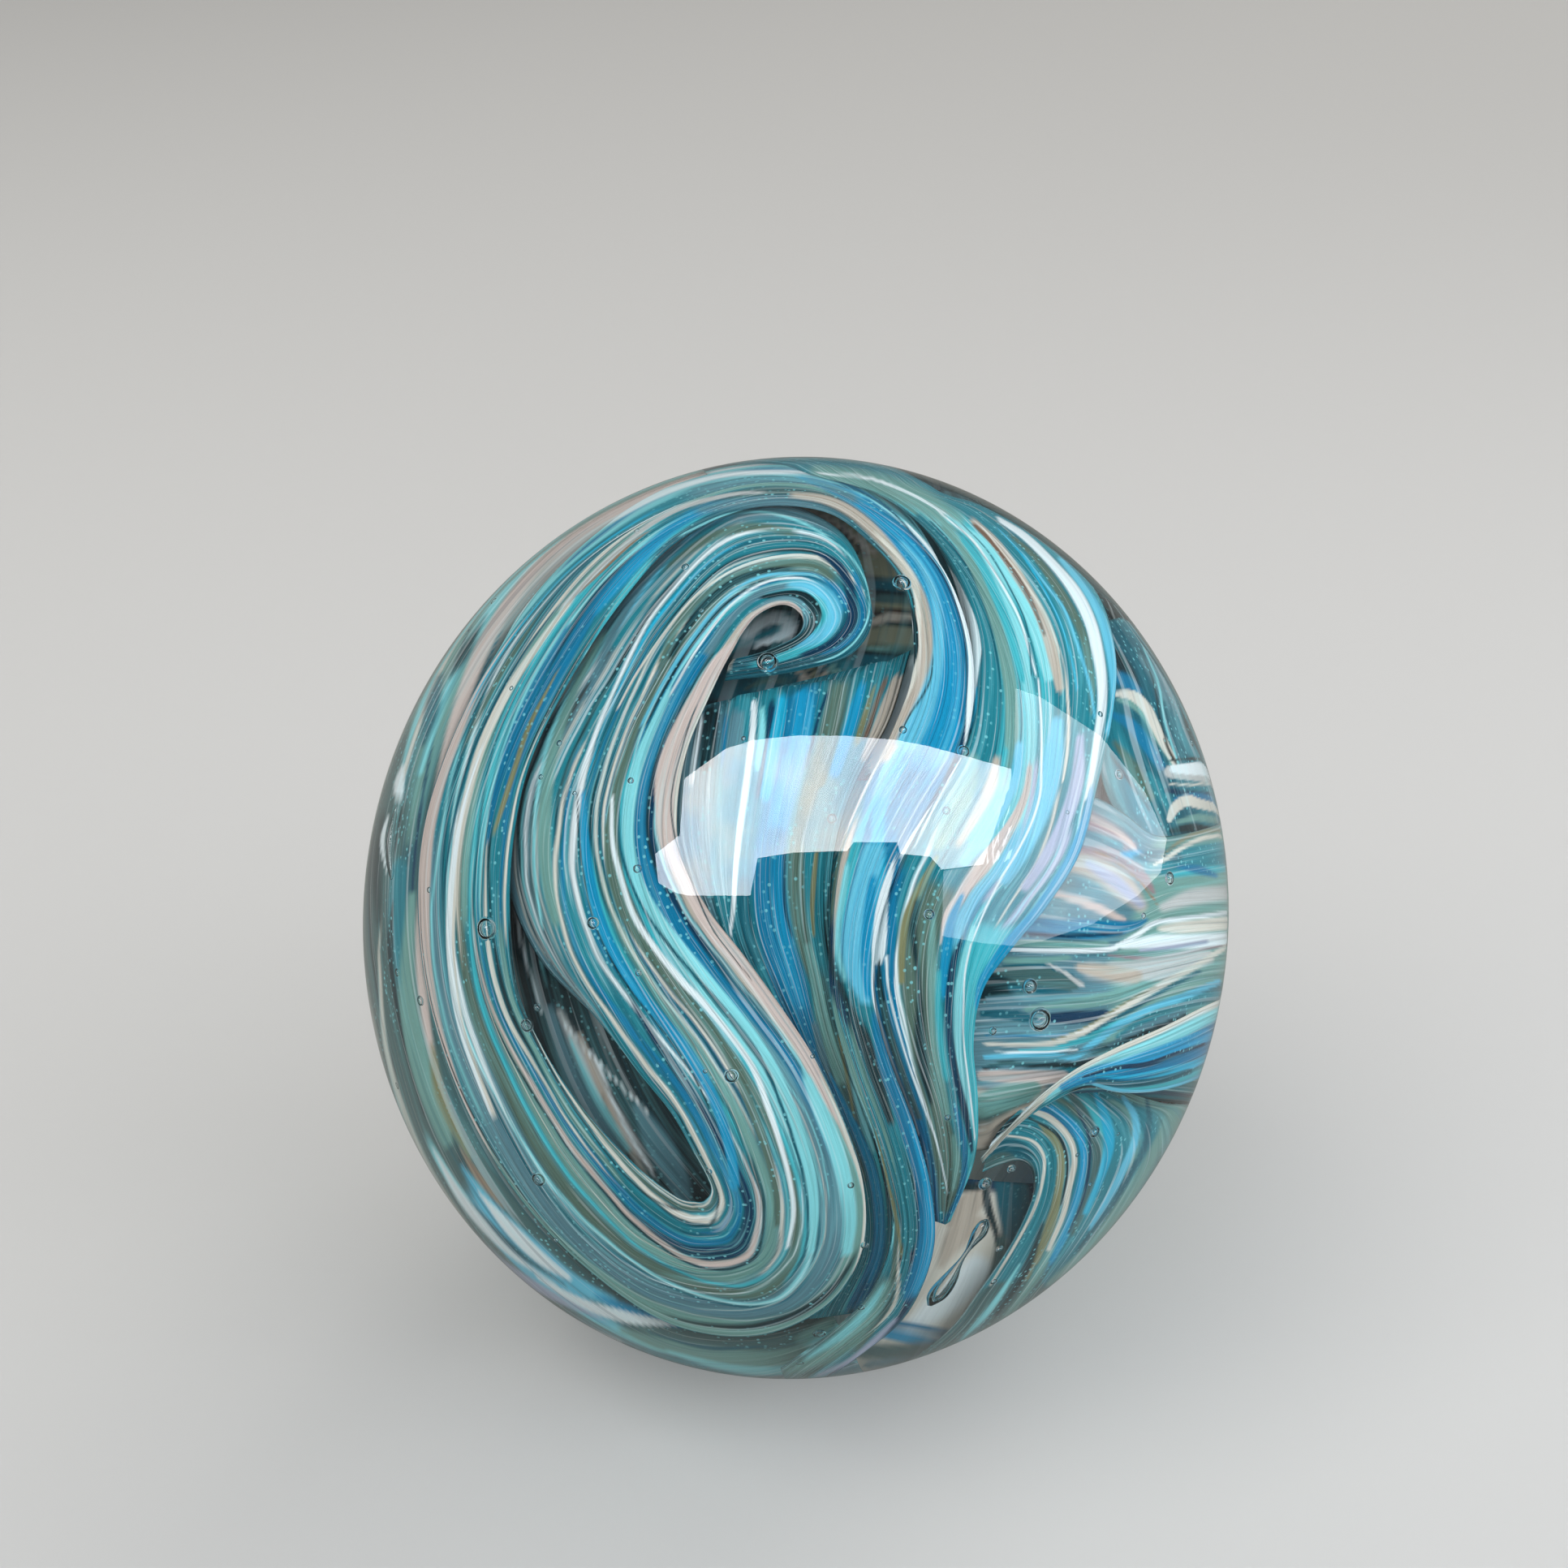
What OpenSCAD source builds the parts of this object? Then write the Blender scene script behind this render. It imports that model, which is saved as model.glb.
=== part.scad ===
// Large handmade glass marble: clear glass round folded ribbons of coloured glass.
// Origin at the centre of the ball, +Z up, -Y to the front.

/* [Ball] */
// Width of the ball across its short axes
ball_w = 60; // [50:1:80]
// Height of the ball along its long axis
ball_h = 65.3; // [60:0.1:68]
// How far the long axis leans to the right
ball_lean = 6.3; // [0:0.1:10]

/* [Ribbons] */
// Thickness of the coloured ribbons that lie nearest to the surface
ribbon_t = 1.1; // [0.8:0.1:1.3]
// Thickness of the ribbons under them
under_t = 0.8; // [0.5:0.1:0.9]
// Columns of facets across a wide ribbon
wide_columns = 6; // [5:1:7]
// Rings of facets between two guide points
rings_per_span = 2; // [1:1:2]

/* [Front view] */
// Height of the eye above the level of the ball, in degrees
eye_elevation = 30; // [25:1:35]
// Distance of the eye from the centre of the ball
eye_distance = 160; // [140:5:200]

/* [Bubbles] */
// Sides of a bubble
bubble_fn = 24; // [16:4:48]

/* [Hidden] */

// Guide points are given for this width and drawn larger or smaller with the ball.
guide_w = 60;
grow = ball_w / guide_w;

half_w = ball_w / 2;
half_h = ball_h / 2;
long_axis = [sin(ball_lean), 0, cos(ball_lean)];
glass_ior = 1.5;

// Depths are shares of the way from the centre (0) to the surface (1).
top_depth = 0.925;
under_depth = 0.872;
deep_depth = 0.80;
bubble_depth = 0.97;

// The view plane passes through the centre, square to the line of sight.
eye_dir = [0, -cos(eye_elevation), sin(eye_elevation)];
plane_x = [1, 0, 0];
plane_z = [0, sin(eye_elevation), cos(eye_elevation)];
plane_share = 1 / sqrt(1 - pow(half_w / eye_distance, 2));
rim_share = 0.998;
wrap_angle = 90;

// ---- The ball as a stretched unit sphere ----

function unit(v) = v / norm(v);
function stretched(p) = half_w * p + (half_h - half_w) * (p * long_axis) * long_axis;
function shrunk(p) = p / half_w + (1 / half_h - 1 / half_w) * (p * long_axis) * long_axis;

// ---- Where a point of the view plane lies inside the glass ----

// Share of the way from the middle of the outline to its rim
function rim_radius(x, z) =
    let (seen_axis = unit([sin(ball_lean), cos(ball_lean) * cos(eye_elevation)]),
         seen_h = sqrt(pow(half_w, 2) + (pow(half_h, 2) - pow(half_w, 2))
                       * (pow(sin(ball_lean), 2) + pow(cos(ball_lean) * cos(eye_elevation), 2))),
         along = [x, z] * seen_axis,
         across = x * seen_axis[1] - z * seen_axis[0])
    norm([along / seen_h, across / half_w]);

// First point on the line p + t * d at the given share of the way out from the centre
function hit(p, d, depth) =
    let (o = shrunk(p), w = shrunk(d), half_b = o * w, c = o * o - depth * depth)
    p + d * (-half_b - sqrt(max(0, half_b * half_b - (w * w) * c))) / (w * w);

// The sight line bends as it enters the glass and runs on to the given depth.
function sighted(x, z, depth, side) =
    let (eye = side * eye_distance * eye_dir,
         aim = plane_share * (side * x * plane_x + z * plane_z),
         d = unit(aim - eye),
         p = hit(eye, d, 1),
         n = unit(shrunk(shrunk(p))),
         cos_in = -n * d,
         cos_out = sqrt(1 - (1 - cos_in * cos_in) / pow(glass_ior, 2)))
    hit(p, d / glass_ior + (cos_in / glass_ior - cos_out) * n, depth);

// Points past the outline wrap on round the ball.
function wrapped(p, extra, depth, side) =
    let (q = unit(shrunk(p)),
         c = unit(side * shrunk(eye_dir)),
         m = unit(q - (q * c) * c),
         angle = acos(q * c) + extra)
    depth * stretched(cos(angle) * c + sin(angle) * m);

// x to the right and z up as seen, side 1 from the front and -1 from behind
function placed(x, z, depth, side = 1) =
    let (r = rim_radius(side * x, z), k = min(1, rim_share / max(r, 0.001)),
         p = sighted(k * x, k * z, depth, side))
    r <= rim_share ? p : wrapped(p, (r - rim_share) * wrap_angle, depth, side);

// ---- A ribbon between two edges ----

function spline(p0, p1, p2, p3, t) =
    0.5 * (2 * p1 + (p2 - p0) * t + (2 * p0 - 5 * p1 + 4 * p2 - p3) * t * t
           + (3 * p1 - p0 - 3 * p2 + p3) * t * t * t);

function curve(points, steps) =
    let (last = len(points) - 1, ext = concat([2 * points[0] - points[1]], points,
                                             [2 * points[last] - points[last - 1]]))
    [for (i = [0 : last * steps])
        let (k = min(floor(i / steps), last - 1))
        spline(ext[k], ext[k + 1], ext[k + 2], ext[k + 3], i / steps - k)];

function smooth(t) = let (s = max(0, min(1, t))) s * s * (3 - 2 * s);

// One closed ring of points round the ribbon: out along the front, home along the back.
function ring(a, b, mid, half_t, columns, side) =
    let (share = [for (j = [0 : columns]) (1 - cos(180 * j / columns)) / 2])
    concat(
        [for (j = [0 : columns])
            let (p = a + (b - a) * share[j], bulge = half_t * pow(sin(180 * j / columns), 0.6))
            placed(p[0], p[1], mid + (j == 0 || j == columns ? 0 : bulge), side)],
        [for (j = [columns - 1 : -1 : 1])
            let (p = a + (b - a) * share[j], bulge = half_t * pow(sin(180 * j / columns), 0.6))
            placed(p[0], p[1], mid - bulge, side)]);

// Its ends sink towards the centre, where the fold tucks under its neighbour.
module ribbon(edge_a, edge_b, depth, t, columns = wide_columns, sinks = [0, 0], side = 1) {
    swap = cross(edge_a[1] - edge_a[0], edge_b[0] - edge_a[0]) > 0;
    a = curve(grow * (swap ? edge_b : edge_a), rings_per_span);
    b = curve(grow * (swap ? edge_a : edge_b), rings_per_span);
    rings = len(a);
    around = 2 * columns;
    sink_rings = 2 * rings_per_span;
    points = [for (i = [0 : rings - 1])
        let (sunk = sinks[0] * (1 - smooth(i / sink_rings))
                    + sinks[1] * (1 - smooth((rings - 1 - i) / sink_rings)))
        each ring(a[i], b[i], depth - sunk, t / ball_w, columns, side)];
    walls = [for (i = [0 : rings - 2], j = [0 : around - 1])
        let (p = i * around + j, q = i * around + (j + 1) % around)
        each [[p, p + around, q], [q, p + around, q + around]]];
    function cap(base) = concat(
        [[base, base + 1, base + around - 1]],
        [for (j = [1 : columns - 2])
            each [[base + j, base + j + 1, base + around - j],
                  [base + j + 1, base + around - j - 1, base + around - j]]],
        [[base + columns - 1, base + columns, base + columns + 1]]);
    start_cap = cap(0);
    end_cap = [for (f = cap((rings - 1) * around)) [f[2], f[1], f[0]]];
    polyhedron(points, concat(walls, start_cap, end_cap));
}

// ---- Coloured glass ----

// One long ribbon: a curled head, down the inner leg, round the lower loop, up the left leg,
// over the top and down the right side.
folded_edge = [
    [-3.4, 18.7], [0.2, 20.1], [0.5, 21.4], [-0.9, 22.2], [-2.9, 21.2], [-4.6, 18.6],
    [-7.5, 12.2], [-8.2, 8.4], [-8.0, 5.0], [-6.2, 1.2], [-3.6, -2.2], [1.4, -9.5],
    [4.7, -18.2], [4.6, -22.6], [2.2, -26.4], [-2.6, -28.5], [-8.4, -27.8], [-13.8, -24.4],
    [-22.4, -13.6], [-26.1, 0], [-23.9, 12.6], [-16, 24.6], [-10, 28.9], [-3.6, 31],
    [2.4, 30.6], [7, 28.2], [10.2, 24.8], [12, 20.4], [12.4, 16], [11.6, 11.8],
    [6.8, 3], [5.5, -5.4], [8.2, -13.8], [9.6, -22.2], [7.8, -27.2], [0, -33]];
folded_inner = [
    [-3.6, 17], [4.2, 19], [5.3, 22.2], [2.6, 27.0], [-4, 27.6], [-10, 22.2],
    [-16, 12.4], [-17.6, 8], [-17.8, 3], [-16.2, -2], [-13.6, -6.2], [-8.6, -13],
    [-6.0, -18], [-6.4, -19.1], [-7, -19.4], [-7.8, -19.3], [-8.6, -18.9], [-10.6, -17.4],
    [-17.4, -9], [-19.8, 0], [-18.4, 11.2], [-11.9, 22.6], [-8, 26.7], [-3, 28.9],
    [2.2, 28.6], [5.7, 26], [7.6, 23.4], [8.2, 20.4], [8.1, 17], [6.6, 13],
    [3, 4.8], [2.5, -5.2], [5.4, -14.6], [6.6, -22.2], [5.4, -26.4], [-1, -30.8]];
module folded_ribbon() {
    color([0.25, 0.58, 0.62])
        ribbon(folded_edge, folded_inner, top_depth, ribbon_t, sinks = [0.03, 0]);
}

// The broad veil that comes over the top and narrows to a point low on the right
module veil() {
    color([0.36, 0.68, 0.70])
        ribbon([[-4, 34.5], [5.2, 30.3], [11.6, 24.6], [12.9, 16.2], [9.8, 7.6], [6.7, -0.6],
                [7.6, -8.6], [10.9, -19]],
               [[7, 34.5], [14, 28.8], [21.2, 22.6], [22, 14.2], [19.8, 5], [15.2, -1.5],
                [12.4, -8.2], [12.2, -18.2]],
               top_depth, ribbon_t, sinks = [0, 0.02]);
}

// The sheet behind them, with a scalloped lip under the curled head
module curtain() {
    color([0.16, 0.52, 0.68])
        ribbon([[-8.6, 13.6], [-9.2, 9.4], [-7.2, 1.2], [-2.2, -6.2], [2.3, -14.4],
                [3.4, -23.2], [1, -27.4]],
               [[7.8, 18.2], [5.4, 12.2], [2.5, 1.2], [3.4, -5.6], [6.2, -15], [7, -22.2],
                [5.2, -26.8]],
               under_depth, under_t, sinks = [0.02, 0]);
}

// Pale bands between the long ribbon and the left rim
module flank_bands() {
    color([0.45, 0.62, 0.60])
        ribbon([[-14.4, 26.8], [-24.4, 13.4], [-26.6, 0], [-23.2, -13.8], [-14.4, -25.1],
                [-2.6, -29.1], [2.9, -26.9], [5.3, -22.4]],
               [[-18, 29.5], [-31, 14.5], [-33, -0.6], [-29, -18], [-18, -29.5],
                [-3.4, -30.2], [3.4, -27.7], [5.8, -22.5]],
               top_depth, ribbon_t, sinks = [0.02, 0.02]);
}

// Strands that fan out from under the veil to the right rim
module side_fan() {
    color([0.72, 0.78, 0.74])
        ribbon([[16.5, 9.8], [21, 8.6], [25, 5.8], [29, 6.5], [33, 8]],
               [[11.6, -11.5], [18, -10.2], [24, -7.8], [28.5, -6.4], [32, -8.5]],
               under_depth, under_t);
}

// The cream-edged blue fin that lies over the fan
module side_fin() {
    color([0.12, 0.40, 0.62])
        ribbon([[13.6, -15.4], [17, -11.9], [22.4, -8.5], [28.4, -5.7], [32, -4.4]],
               [[13.8, -15.7], [17.6, -12.3], [23.6, -10.6], [28.6, -8.7], [31.5, -8]],
               top_depth, ribbon_t, columns = 5);
}

// Nested arches at the lower right
module corner_fold() {
    color([0.22, 0.50, 0.55])
        ribbon([[13, -17.2], [15.5, -16.4], [16.5, -18.6], [14.6, -22.8], [10.4, -28.4],
                [5, -32.5]],
               [[23, -11.6], [28.5, -13], [28.5, -18], [23, -25.5], [16, -30.5], [7, -35]],
               under_depth, under_t, sinks = [0.03, 0]);
}

// Bands at the upper right, from the veil to the rim
module crest_bands() {
    color([0.30, 0.48, 0.52])
        ribbon([[19.4, 20.5], [20.4, 16.5], [21.2, 12.5], [23.6, 9.2]],
               [[25.5, 22], [29.5, 17.5], [31.5, 13.5], [32.5, 11.5]],
               under_depth, under_t, columns = 5);
}

// Dark folds deep in the ball that show through the gaps
inner_edges = [
    [[[-9, 31], [-8, 24], [-10, 17], [-12, 10]], [[13, 30], [15, 22], [13, 15], [9, 10]]],
    [[[-23, 6], [-23, -4], [-19, -15], [-10, -23]], [[-11, 8], [-9, -2], [-5, -11], [0, -20]]],
    [[[17, 24], [16, 14], [13, 2], [13, -12]], [[25, 22], [31, 12], [32, -2], [29, -14]]]];
module inner_folds() {
    color([0.16, 0.28, 0.28])
        for (edges = inner_edges)
            ribbon(edges[0], edges[1], deep_depth, ribbon_t);
}

// Pale beige glass that shows through the gap low on the right
module pale_pocket() {
    color([0.86, 0.82, 0.76])
        ribbon([[10, -17.5], [7, -24], [2, -31]], [[17, -18], [17, -25], [13, -34]],
               deep_depth, ribbon_t, columns = 5);
}

// Three broad ribbons that fold across the hidden side
back_edges = [
    [[[-17, 29.5], [-14.4, 25], [-9, 16.5], [-3, 4], [5, -8], [15.5, -19.5], [19, -23.4], [21.6, -26]],
     [[0, 34], [2, 29.6], [6.5, 19], [10.5, 6], [18, -3.5], [25.2, -11.2], [27.6, -13], [29, -14]]],
    [[[2.6, 34], [5, 29.4], [10, 19.5], [14.5, 8], [21.5, -1], [26.8, -7.6], [29.8, -11.2]],
     [[13.6, 30], [17.5, 27], [25, 20.5], [30, 10.5], [31.4, 2.5], [31.6, -3], [31.4, -6.6]]],
    [[[-19.8, 27.4], [-17, 23.4], [-12, 14.5], [-6.5, 2], [1.5, -10.5], [11.6, -22.8], [16.6, -28.6]],
     [[-26.6, 18.8], [-28.4, 14.8], [-30.8, 5], [-29.8, -10.5], [-22.6, -23.5], [-8.6, -32.2],
      [4.4, -33.6]]]];
module back_ribbons() {
    color([0.30, 0.62, 0.66])
        for (edges = back_edges)
            ribbon(edges[0], edges[1], top_depth, ribbon_t, side = -1);
}

// ---- Clear glass ----

// Place in the view plane and diameter of each of the larger bubbles
bubbles = [[-21.4, -0.3, 1.5], [-1.9, 18.2, 1.3], [17, -6.6, 1.5], [7.4, 23.7, 1.2],
           [-18.6, -7, 0.9], [-14, 0.1, 0.8], [-4.4, -10.5, 0.9], [-17.8, -17.7, 1],
           [26, 3.2, 0.9], [20.8, -14.4, 0.8]];
module bubble(spot) {
    translate(placed(grow * spot[0], grow * spot[1], bubble_depth))
        sphere(d = grow * spot[2], $fn = bubble_fn);
}

module ball() {
    rotate([0, ball_lean, 0])
        scale([ball_w, ball_w, ball_h])
            sphere(d = 1, $fn = 128);
}

// The clear glass fills all that the coloured glass and the bubbles leave.
module clear_glass() {
    color([0.80, 0.92, 0.94, 0.30])
        difference() {
            ball();
            folded_ribbon();
            veil();
            curtain();
            flank_bands();
            side_fan();
            side_fin();
            corner_fold();
            crest_bands();
            inner_folds();
            pale_pocket();
            back_ribbons();
            for (spot = bubbles) bubble(spot);
        }
}

clear_glass();
folded_ribbon();
veil();
curtain();
flank_bands();
side_fan();
side_fin();
corner_fold();
crest_bands();
inner_folds();
pale_pocket();
back_ribbons();
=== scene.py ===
"""Looks of a large handmade glass marble: clear glass round folded ribbons of coloured glass.

Every ribbon is a closed shell round a surface of two parameters: u runs along the ribbon and
v runs across it. Strands of colour are laid on it along u, as they lie when a gather of
coloured glass is pulled and folded.
"""

import re  # noqa: E402

import bpy  # noqa: E402
import numpy as np  # noqa: E402
from bpy.props import FloatProperty, FloatVectorProperty, PointerProperty  # noqa: E402
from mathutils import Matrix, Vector  # noqa: E402


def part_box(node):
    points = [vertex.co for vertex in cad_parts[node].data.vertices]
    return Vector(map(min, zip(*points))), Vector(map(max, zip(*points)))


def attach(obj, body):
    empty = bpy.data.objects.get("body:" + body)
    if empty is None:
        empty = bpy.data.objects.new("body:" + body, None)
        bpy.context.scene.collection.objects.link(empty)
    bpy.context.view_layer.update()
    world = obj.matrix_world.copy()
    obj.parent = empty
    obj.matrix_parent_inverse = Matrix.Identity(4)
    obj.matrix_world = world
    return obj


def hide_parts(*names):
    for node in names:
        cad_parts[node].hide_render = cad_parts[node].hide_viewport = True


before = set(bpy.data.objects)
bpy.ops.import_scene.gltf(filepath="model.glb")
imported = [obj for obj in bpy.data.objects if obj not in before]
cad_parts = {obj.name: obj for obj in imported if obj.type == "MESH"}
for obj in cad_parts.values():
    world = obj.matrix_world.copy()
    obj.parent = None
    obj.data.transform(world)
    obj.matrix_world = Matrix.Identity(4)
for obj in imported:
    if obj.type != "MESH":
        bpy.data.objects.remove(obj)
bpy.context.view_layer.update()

bl_info = {
    "name": "Folded ribbon marble",
    "version": (1, 0, 0),
    "blender": (4, 5, 0),
    "location": "3D View > Sidebar > Marble",
    "description": "Builds a clear glass ball round folded ribbons of coloured glass",
    "category": "Add Mesh",
}

MM = 0.001
GLASS_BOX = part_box("clear_glass")
ROOT = "root"

# Width of the ball that the guide lines are drawn for, in mm
GUIDE_WIDTH = 60.0

# How far out a body lies: shares of the way from the ball's centre to its surface
UPPER_DEPTH = 0.925
UNDER_DEPTH = 0.872
INNER_DEPTH = 0.80
BUBBLE_DEPTH = 0.97
LONG_BUBBLE_DEPTH = 0.965


# ---- What a user would change ----


def tone(name, description, red, green, blue):
    """A colour as it looks on a screen, from 0 to 255 for each part."""
    return FloatVectorProperty(
        name=name,
        description=description,
        subtype="COLOR_GAMMA",
        size=3,
        min=0.0,
        max=1.0,
        default=(red / 255, green / 255, blue / 255),
    )


class MarbleColours(bpy.types.PropertyGroup):
    """The glasses that the ribbons are pulled from."""

    white: tone("White", "Blue-white threads", 226, 240, 242)
    cream: tone("Cream", "Cream strands", 212, 212, 200)
    beige: tone("Beige", "Warm pale bands", 184, 176, 162)
    pink: tone("Pinkish beige", "Rosy pale bands", 200, 186, 178)
    sage: tone("Sage", "Grey-green bands", 110, 158, 150)
    pale: tone("Pale turquoise", "Milky turquoise bands", 132, 214, 220)
    turquoise: tone("Turquoise", "Turquoise bands", 60, 178, 190)
    sky: tone("Sky blue", "Light blue bands", 96, 190, 218)
    cyan: tone("Bright blue", "The brightest blue threads", 24, 168, 204)
    blue: tone("Blue", "Strong blue bands", 8, 116, 156)
    deep: tone("Deep teal", "Dark teal bands", 18, 92, 108)
    teal: tone("Teal", "Middle teal bands", 30, 124, 138)
    navy: tone("Navy", "The darkest blue bands", 4, 50, 80)
    dark: tone("Dark green", "Nearly black green between strands", 18, 44, 50)
    olive: tone("Olive", "Grey-olive bands", 84, 110, 98)
    grey: tone("Grey green", "Dull grey-green glass", 66, 100, 100)
    slate: tone("Slate", "Blue-grey bands", 86, 130, 142)
    amber: tone("Amber", "Brown-gold threads", 150, 108, 70)
    brown: tone("Brown", "Dark brown threads", 66, 52, 44)
    lilac: tone("Lilac", "Faint violet bands", 166, 176, 200)
    gold: tone("Gold olive", "Gold-green strands", 126, 130, 94)
    azure: tone("Azure", "The broad bright blue bands", 16, 146, 190)
    mist: tone("Mist", "Pale grey facets", 186, 192, 190)
    mauve: tone("Mauve", "Brownish violet lines", 150, 128, 132)
    moss: tone("Moss", "Brown-green depths", 134, 138, 116)
    umber: tone("Umber", "Red-brown depths", 112, 88, 72)


def length(name, description, default, low, high):
    """A length in millimetres, as a maker gives it."""
    text = description + ", in millimetres"
    return FloatProperty(name=name, description=text, default=default, min=low, max=high)


def angle(name, description, degrees):
    """An angle, given in degrees."""
    default = float(np.radians(degrees))
    return FloatProperty(name=name, description=description, subtype="ANGLE", default=default)


class MarbleSizes(bpy.types.PropertyGroup):
    """Sizes of the marble, and where it is seen from."""

    ball_lean: angle("Lean", "How far the long axis leans to the right", 6.3)
    ribbon_t: length(
        "Ribbon thickness", "Thickness of the ribbons nearest to the surface", 1.1, 0.5, 1.5
    )
    under_t: length(
        "Lower ribbon thickness", "Thickness of the ribbons under them", 0.8, 0.4, 1.0
    )
    relief: length("Relief", "How far the strands stand out from a ribbon", 0.10, 0.0, 0.3)
    seed_size: length("Seed size", "Diameter of the smallest air bubbles", 0.4, 0.2, 1.0)
    eye_elevation: angle("Eye elevation", "Height of the eye above the level of the ball", 30)
    eye_distance: length(
        "Eye distance", "Distance of the eye from the centre of the ball", 160.0, 120.0, 300.0
    )


# ---- Small tools ----


def smooth(t):
    """Eases from 0 to 1 as t does: three t squared less two t cubed."""
    t = np.clip(t, 0.0, 1.0)
    return t * t * (3 - 2 * t)


def eased(knots, values, at):
    """A curve through the values at the knots: between two knots it is the cubic whose slope at
    each knot is that of the line between the knot's two neighbours."""
    knots = np.asarray(knots, float)
    values = np.asarray(values, float)
    slopes = np.gradient(values, knots, axis=0)
    low = np.clip(np.searchsorted(knots, at, side="right") - 1, 0, len(knots) - 2)
    step = knots[low + 1] - knots[low]
    t = np.clip((at - knots[low]) / step, 0.0, 1.0)
    shape = t.shape + (1,) * (values.ndim - 1)
    t, step = t.reshape(shape), step.reshape(shape)
    return (
        (2 * t**3 - 3 * t**2 + 1) * values[low]
        + (t**3 - 2 * t**2 + t) * step * slopes[low]
        + (3 * t**2 - 2 * t**3) * values[low + 1]
        + (t**3 - t**2) * step * slopes[low + 1]
    )


def unit(v):
    """Each vector divided by its length."""
    return v / np.linalg.norm(v, axis=-1, keepdims=True)


def linear(colour):
    """Screen colour to light: each part to the power of about 2.2, by the usual two-part rule."""
    colour = np.asarray(colour, float)
    return np.where(colour <= 0.04045, colour / 12.92, ((colour + 0.055) / 1.055) ** 2.4)


def rows_of(text):
    """The rows of a text. A line that starts with spaces goes on from the one above."""
    return re.split(r"\n+(?! )", text.strip())


def guides(text):
    """Guide lines, one a row: the points x,z that they pass through, as seen in mm."""
    return [[[float(n) for n in s.split(",")] for s in row.split()] for row in rows_of(text)]


def rows_of_quads(index, beside):
    """Faces between each row of points and the next, where beside has each point's neighbour."""
    return np.stack([index[:-1], index[1:], beside[1:], beside[:-1]], -1).reshape(-1, 4)


# ---- The ball, and where a point that is seen lies in it ----


class Ball:
    """The egg-shaped ball: a unit sphere stretched along one leaning axis. Lengths in mm."""

    ior = 1.5

    # Past this share of the way to the outline, a point wraps on by this angle a radius
    rim_share = 0.998
    wrap_angle = float(np.radians(90))

    def __init__(self, sizes):
        """Half width from the CAD box's depth. Half height from the box's height, which is the
        root of the half height's part and the half width's part of the leaning ellipse."""
        low, high = GLASS_BOX
        self.half_w = (high.y - low.y) / 2 / MM
        half_z = (high.z - low.z) / 2 / MM
        lean = sizes.ball_lean
        self.lean = lean
        self.half_h = np.sqrt(half_z**2 - (self.half_w * np.sin(lean)) ** 2) / np.cos(lean)
        self.axis = np.array([np.sin(lean), 0, np.cos(lean)])
        e = sizes.eye_elevation
        self.elevation = e
        self.distance = sizes.eye_distance
        self.eye = np.array([0, -np.cos(e), np.sin(e)])
        self.plane_x = np.array([1.0, 0, 0])
        self.plane_z = np.array([0, np.sin(e), np.cos(e)])
        self.share = 1 / np.sqrt(1 - (self.half_w / self.distance) ** 2)

    def shrunk(self, p):
        """The ball's space to the unit sphere's."""
        along = (p @ self.axis)[..., None] * self.axis
        return p / self.half_w + (1 / self.half_h - 1 / self.half_w) * along

    def stretched(self, p):
        """The unit sphere's space to the ball's."""
        along = (p @ self.axis)[..., None] * self.axis
        return self.half_w * p + (self.half_h - self.half_w) * along

    def rim_radius(self, x, z):
        """How far out a seen point is, as a share of the way to the outline: an ellipse's rule."""
        up = np.cos(self.lean) * np.cos(self.elevation)
        across = np.sin(self.lean)
        seen = unit(np.array([across, up]))
        grown = (self.half_h**2 - self.half_w**2) * (across**2 + up**2)
        seen_h = np.sqrt(self.half_w**2 + grown)
        return np.hypot(
            (x * seen[0] + z * seen[1]) / seen_h, (x * seen[1] - z * seen[0]) / self.half_w
        )

    def hit(self, p, d, depth):
        """First point of the line p + t d at that share of the way out: a quadratic's lower root."""
        o, w = self.shrunk(p), self.shrunk(d)
        half_b = (o * w).sum(-1)
        c = (o * o).sum(-1) - depth**2
        ww = (w * w).sum(-1)
        root = np.sqrt(np.maximum(0, half_b * half_b - ww * c))
        return p + d * ((-half_b - root) / ww)[..., None]

    def sight(self, x, z, side=1):
        """The eye, the way it looks, and where that line meets the ball and the normal there."""
        eye = side * self.distance * self.eye * np.ones(x.shape + (1,))
        aim = side * x[..., None] * self.plane_x + z[..., None] * self.plane_z
        d = unit(self.share * aim - eye)
        p = self.hit(eye, d, np.ones(x.shape))
        return eye, d, p, unit(self.shrunk(self.shrunk(p)))

    def placed(self, x, z, depth, side=1):
        """The point in the glass that is seen x to the right and z up, at a share of the way from
        the centre to the surface. The sight line bends at the surface by Snell's law. Past the
        outline the point wraps on round the ball. Side is 1 from the front, -1 from behind."""
        x, z = np.asarray(x, float), np.asarray(z, float)
        depth = np.broadcast_to(depth, x.shape)
        r = self.rim_radius(side * x, z)
        k = np.minimum(1, self.rim_share / np.maximum(r, 1e-3))
        eye, d, p, n = self.sight(k * x, k * z, side)
        cos_in = -(n * d).sum(-1)[..., None]
        cos_out = np.sqrt(1 - (1 - cos_in**2) / self.ior**2)
        inner = self.hit(p, d / self.ior + (cos_in / self.ior - cos_out) * n, depth)
        u = unit(self.shrunk(inner))
        c = unit(side * self.shrunk(self.eye))
        m = unit(u - (u @ c)[..., None] * c)
        turn = np.arccos(np.clip(u @ c, -1, 1)) + np.maximum(0, r - self.rim_share) * self.wrap_angle
        turn = turn[..., None]
        wrapped = depth[..., None] * self.stretched(np.cos(turn) * c + np.sin(turn) * m)
        return np.where((r <= self.rim_share)[..., None], inner, wrapped)


# ---- Strands of colour ----


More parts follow.
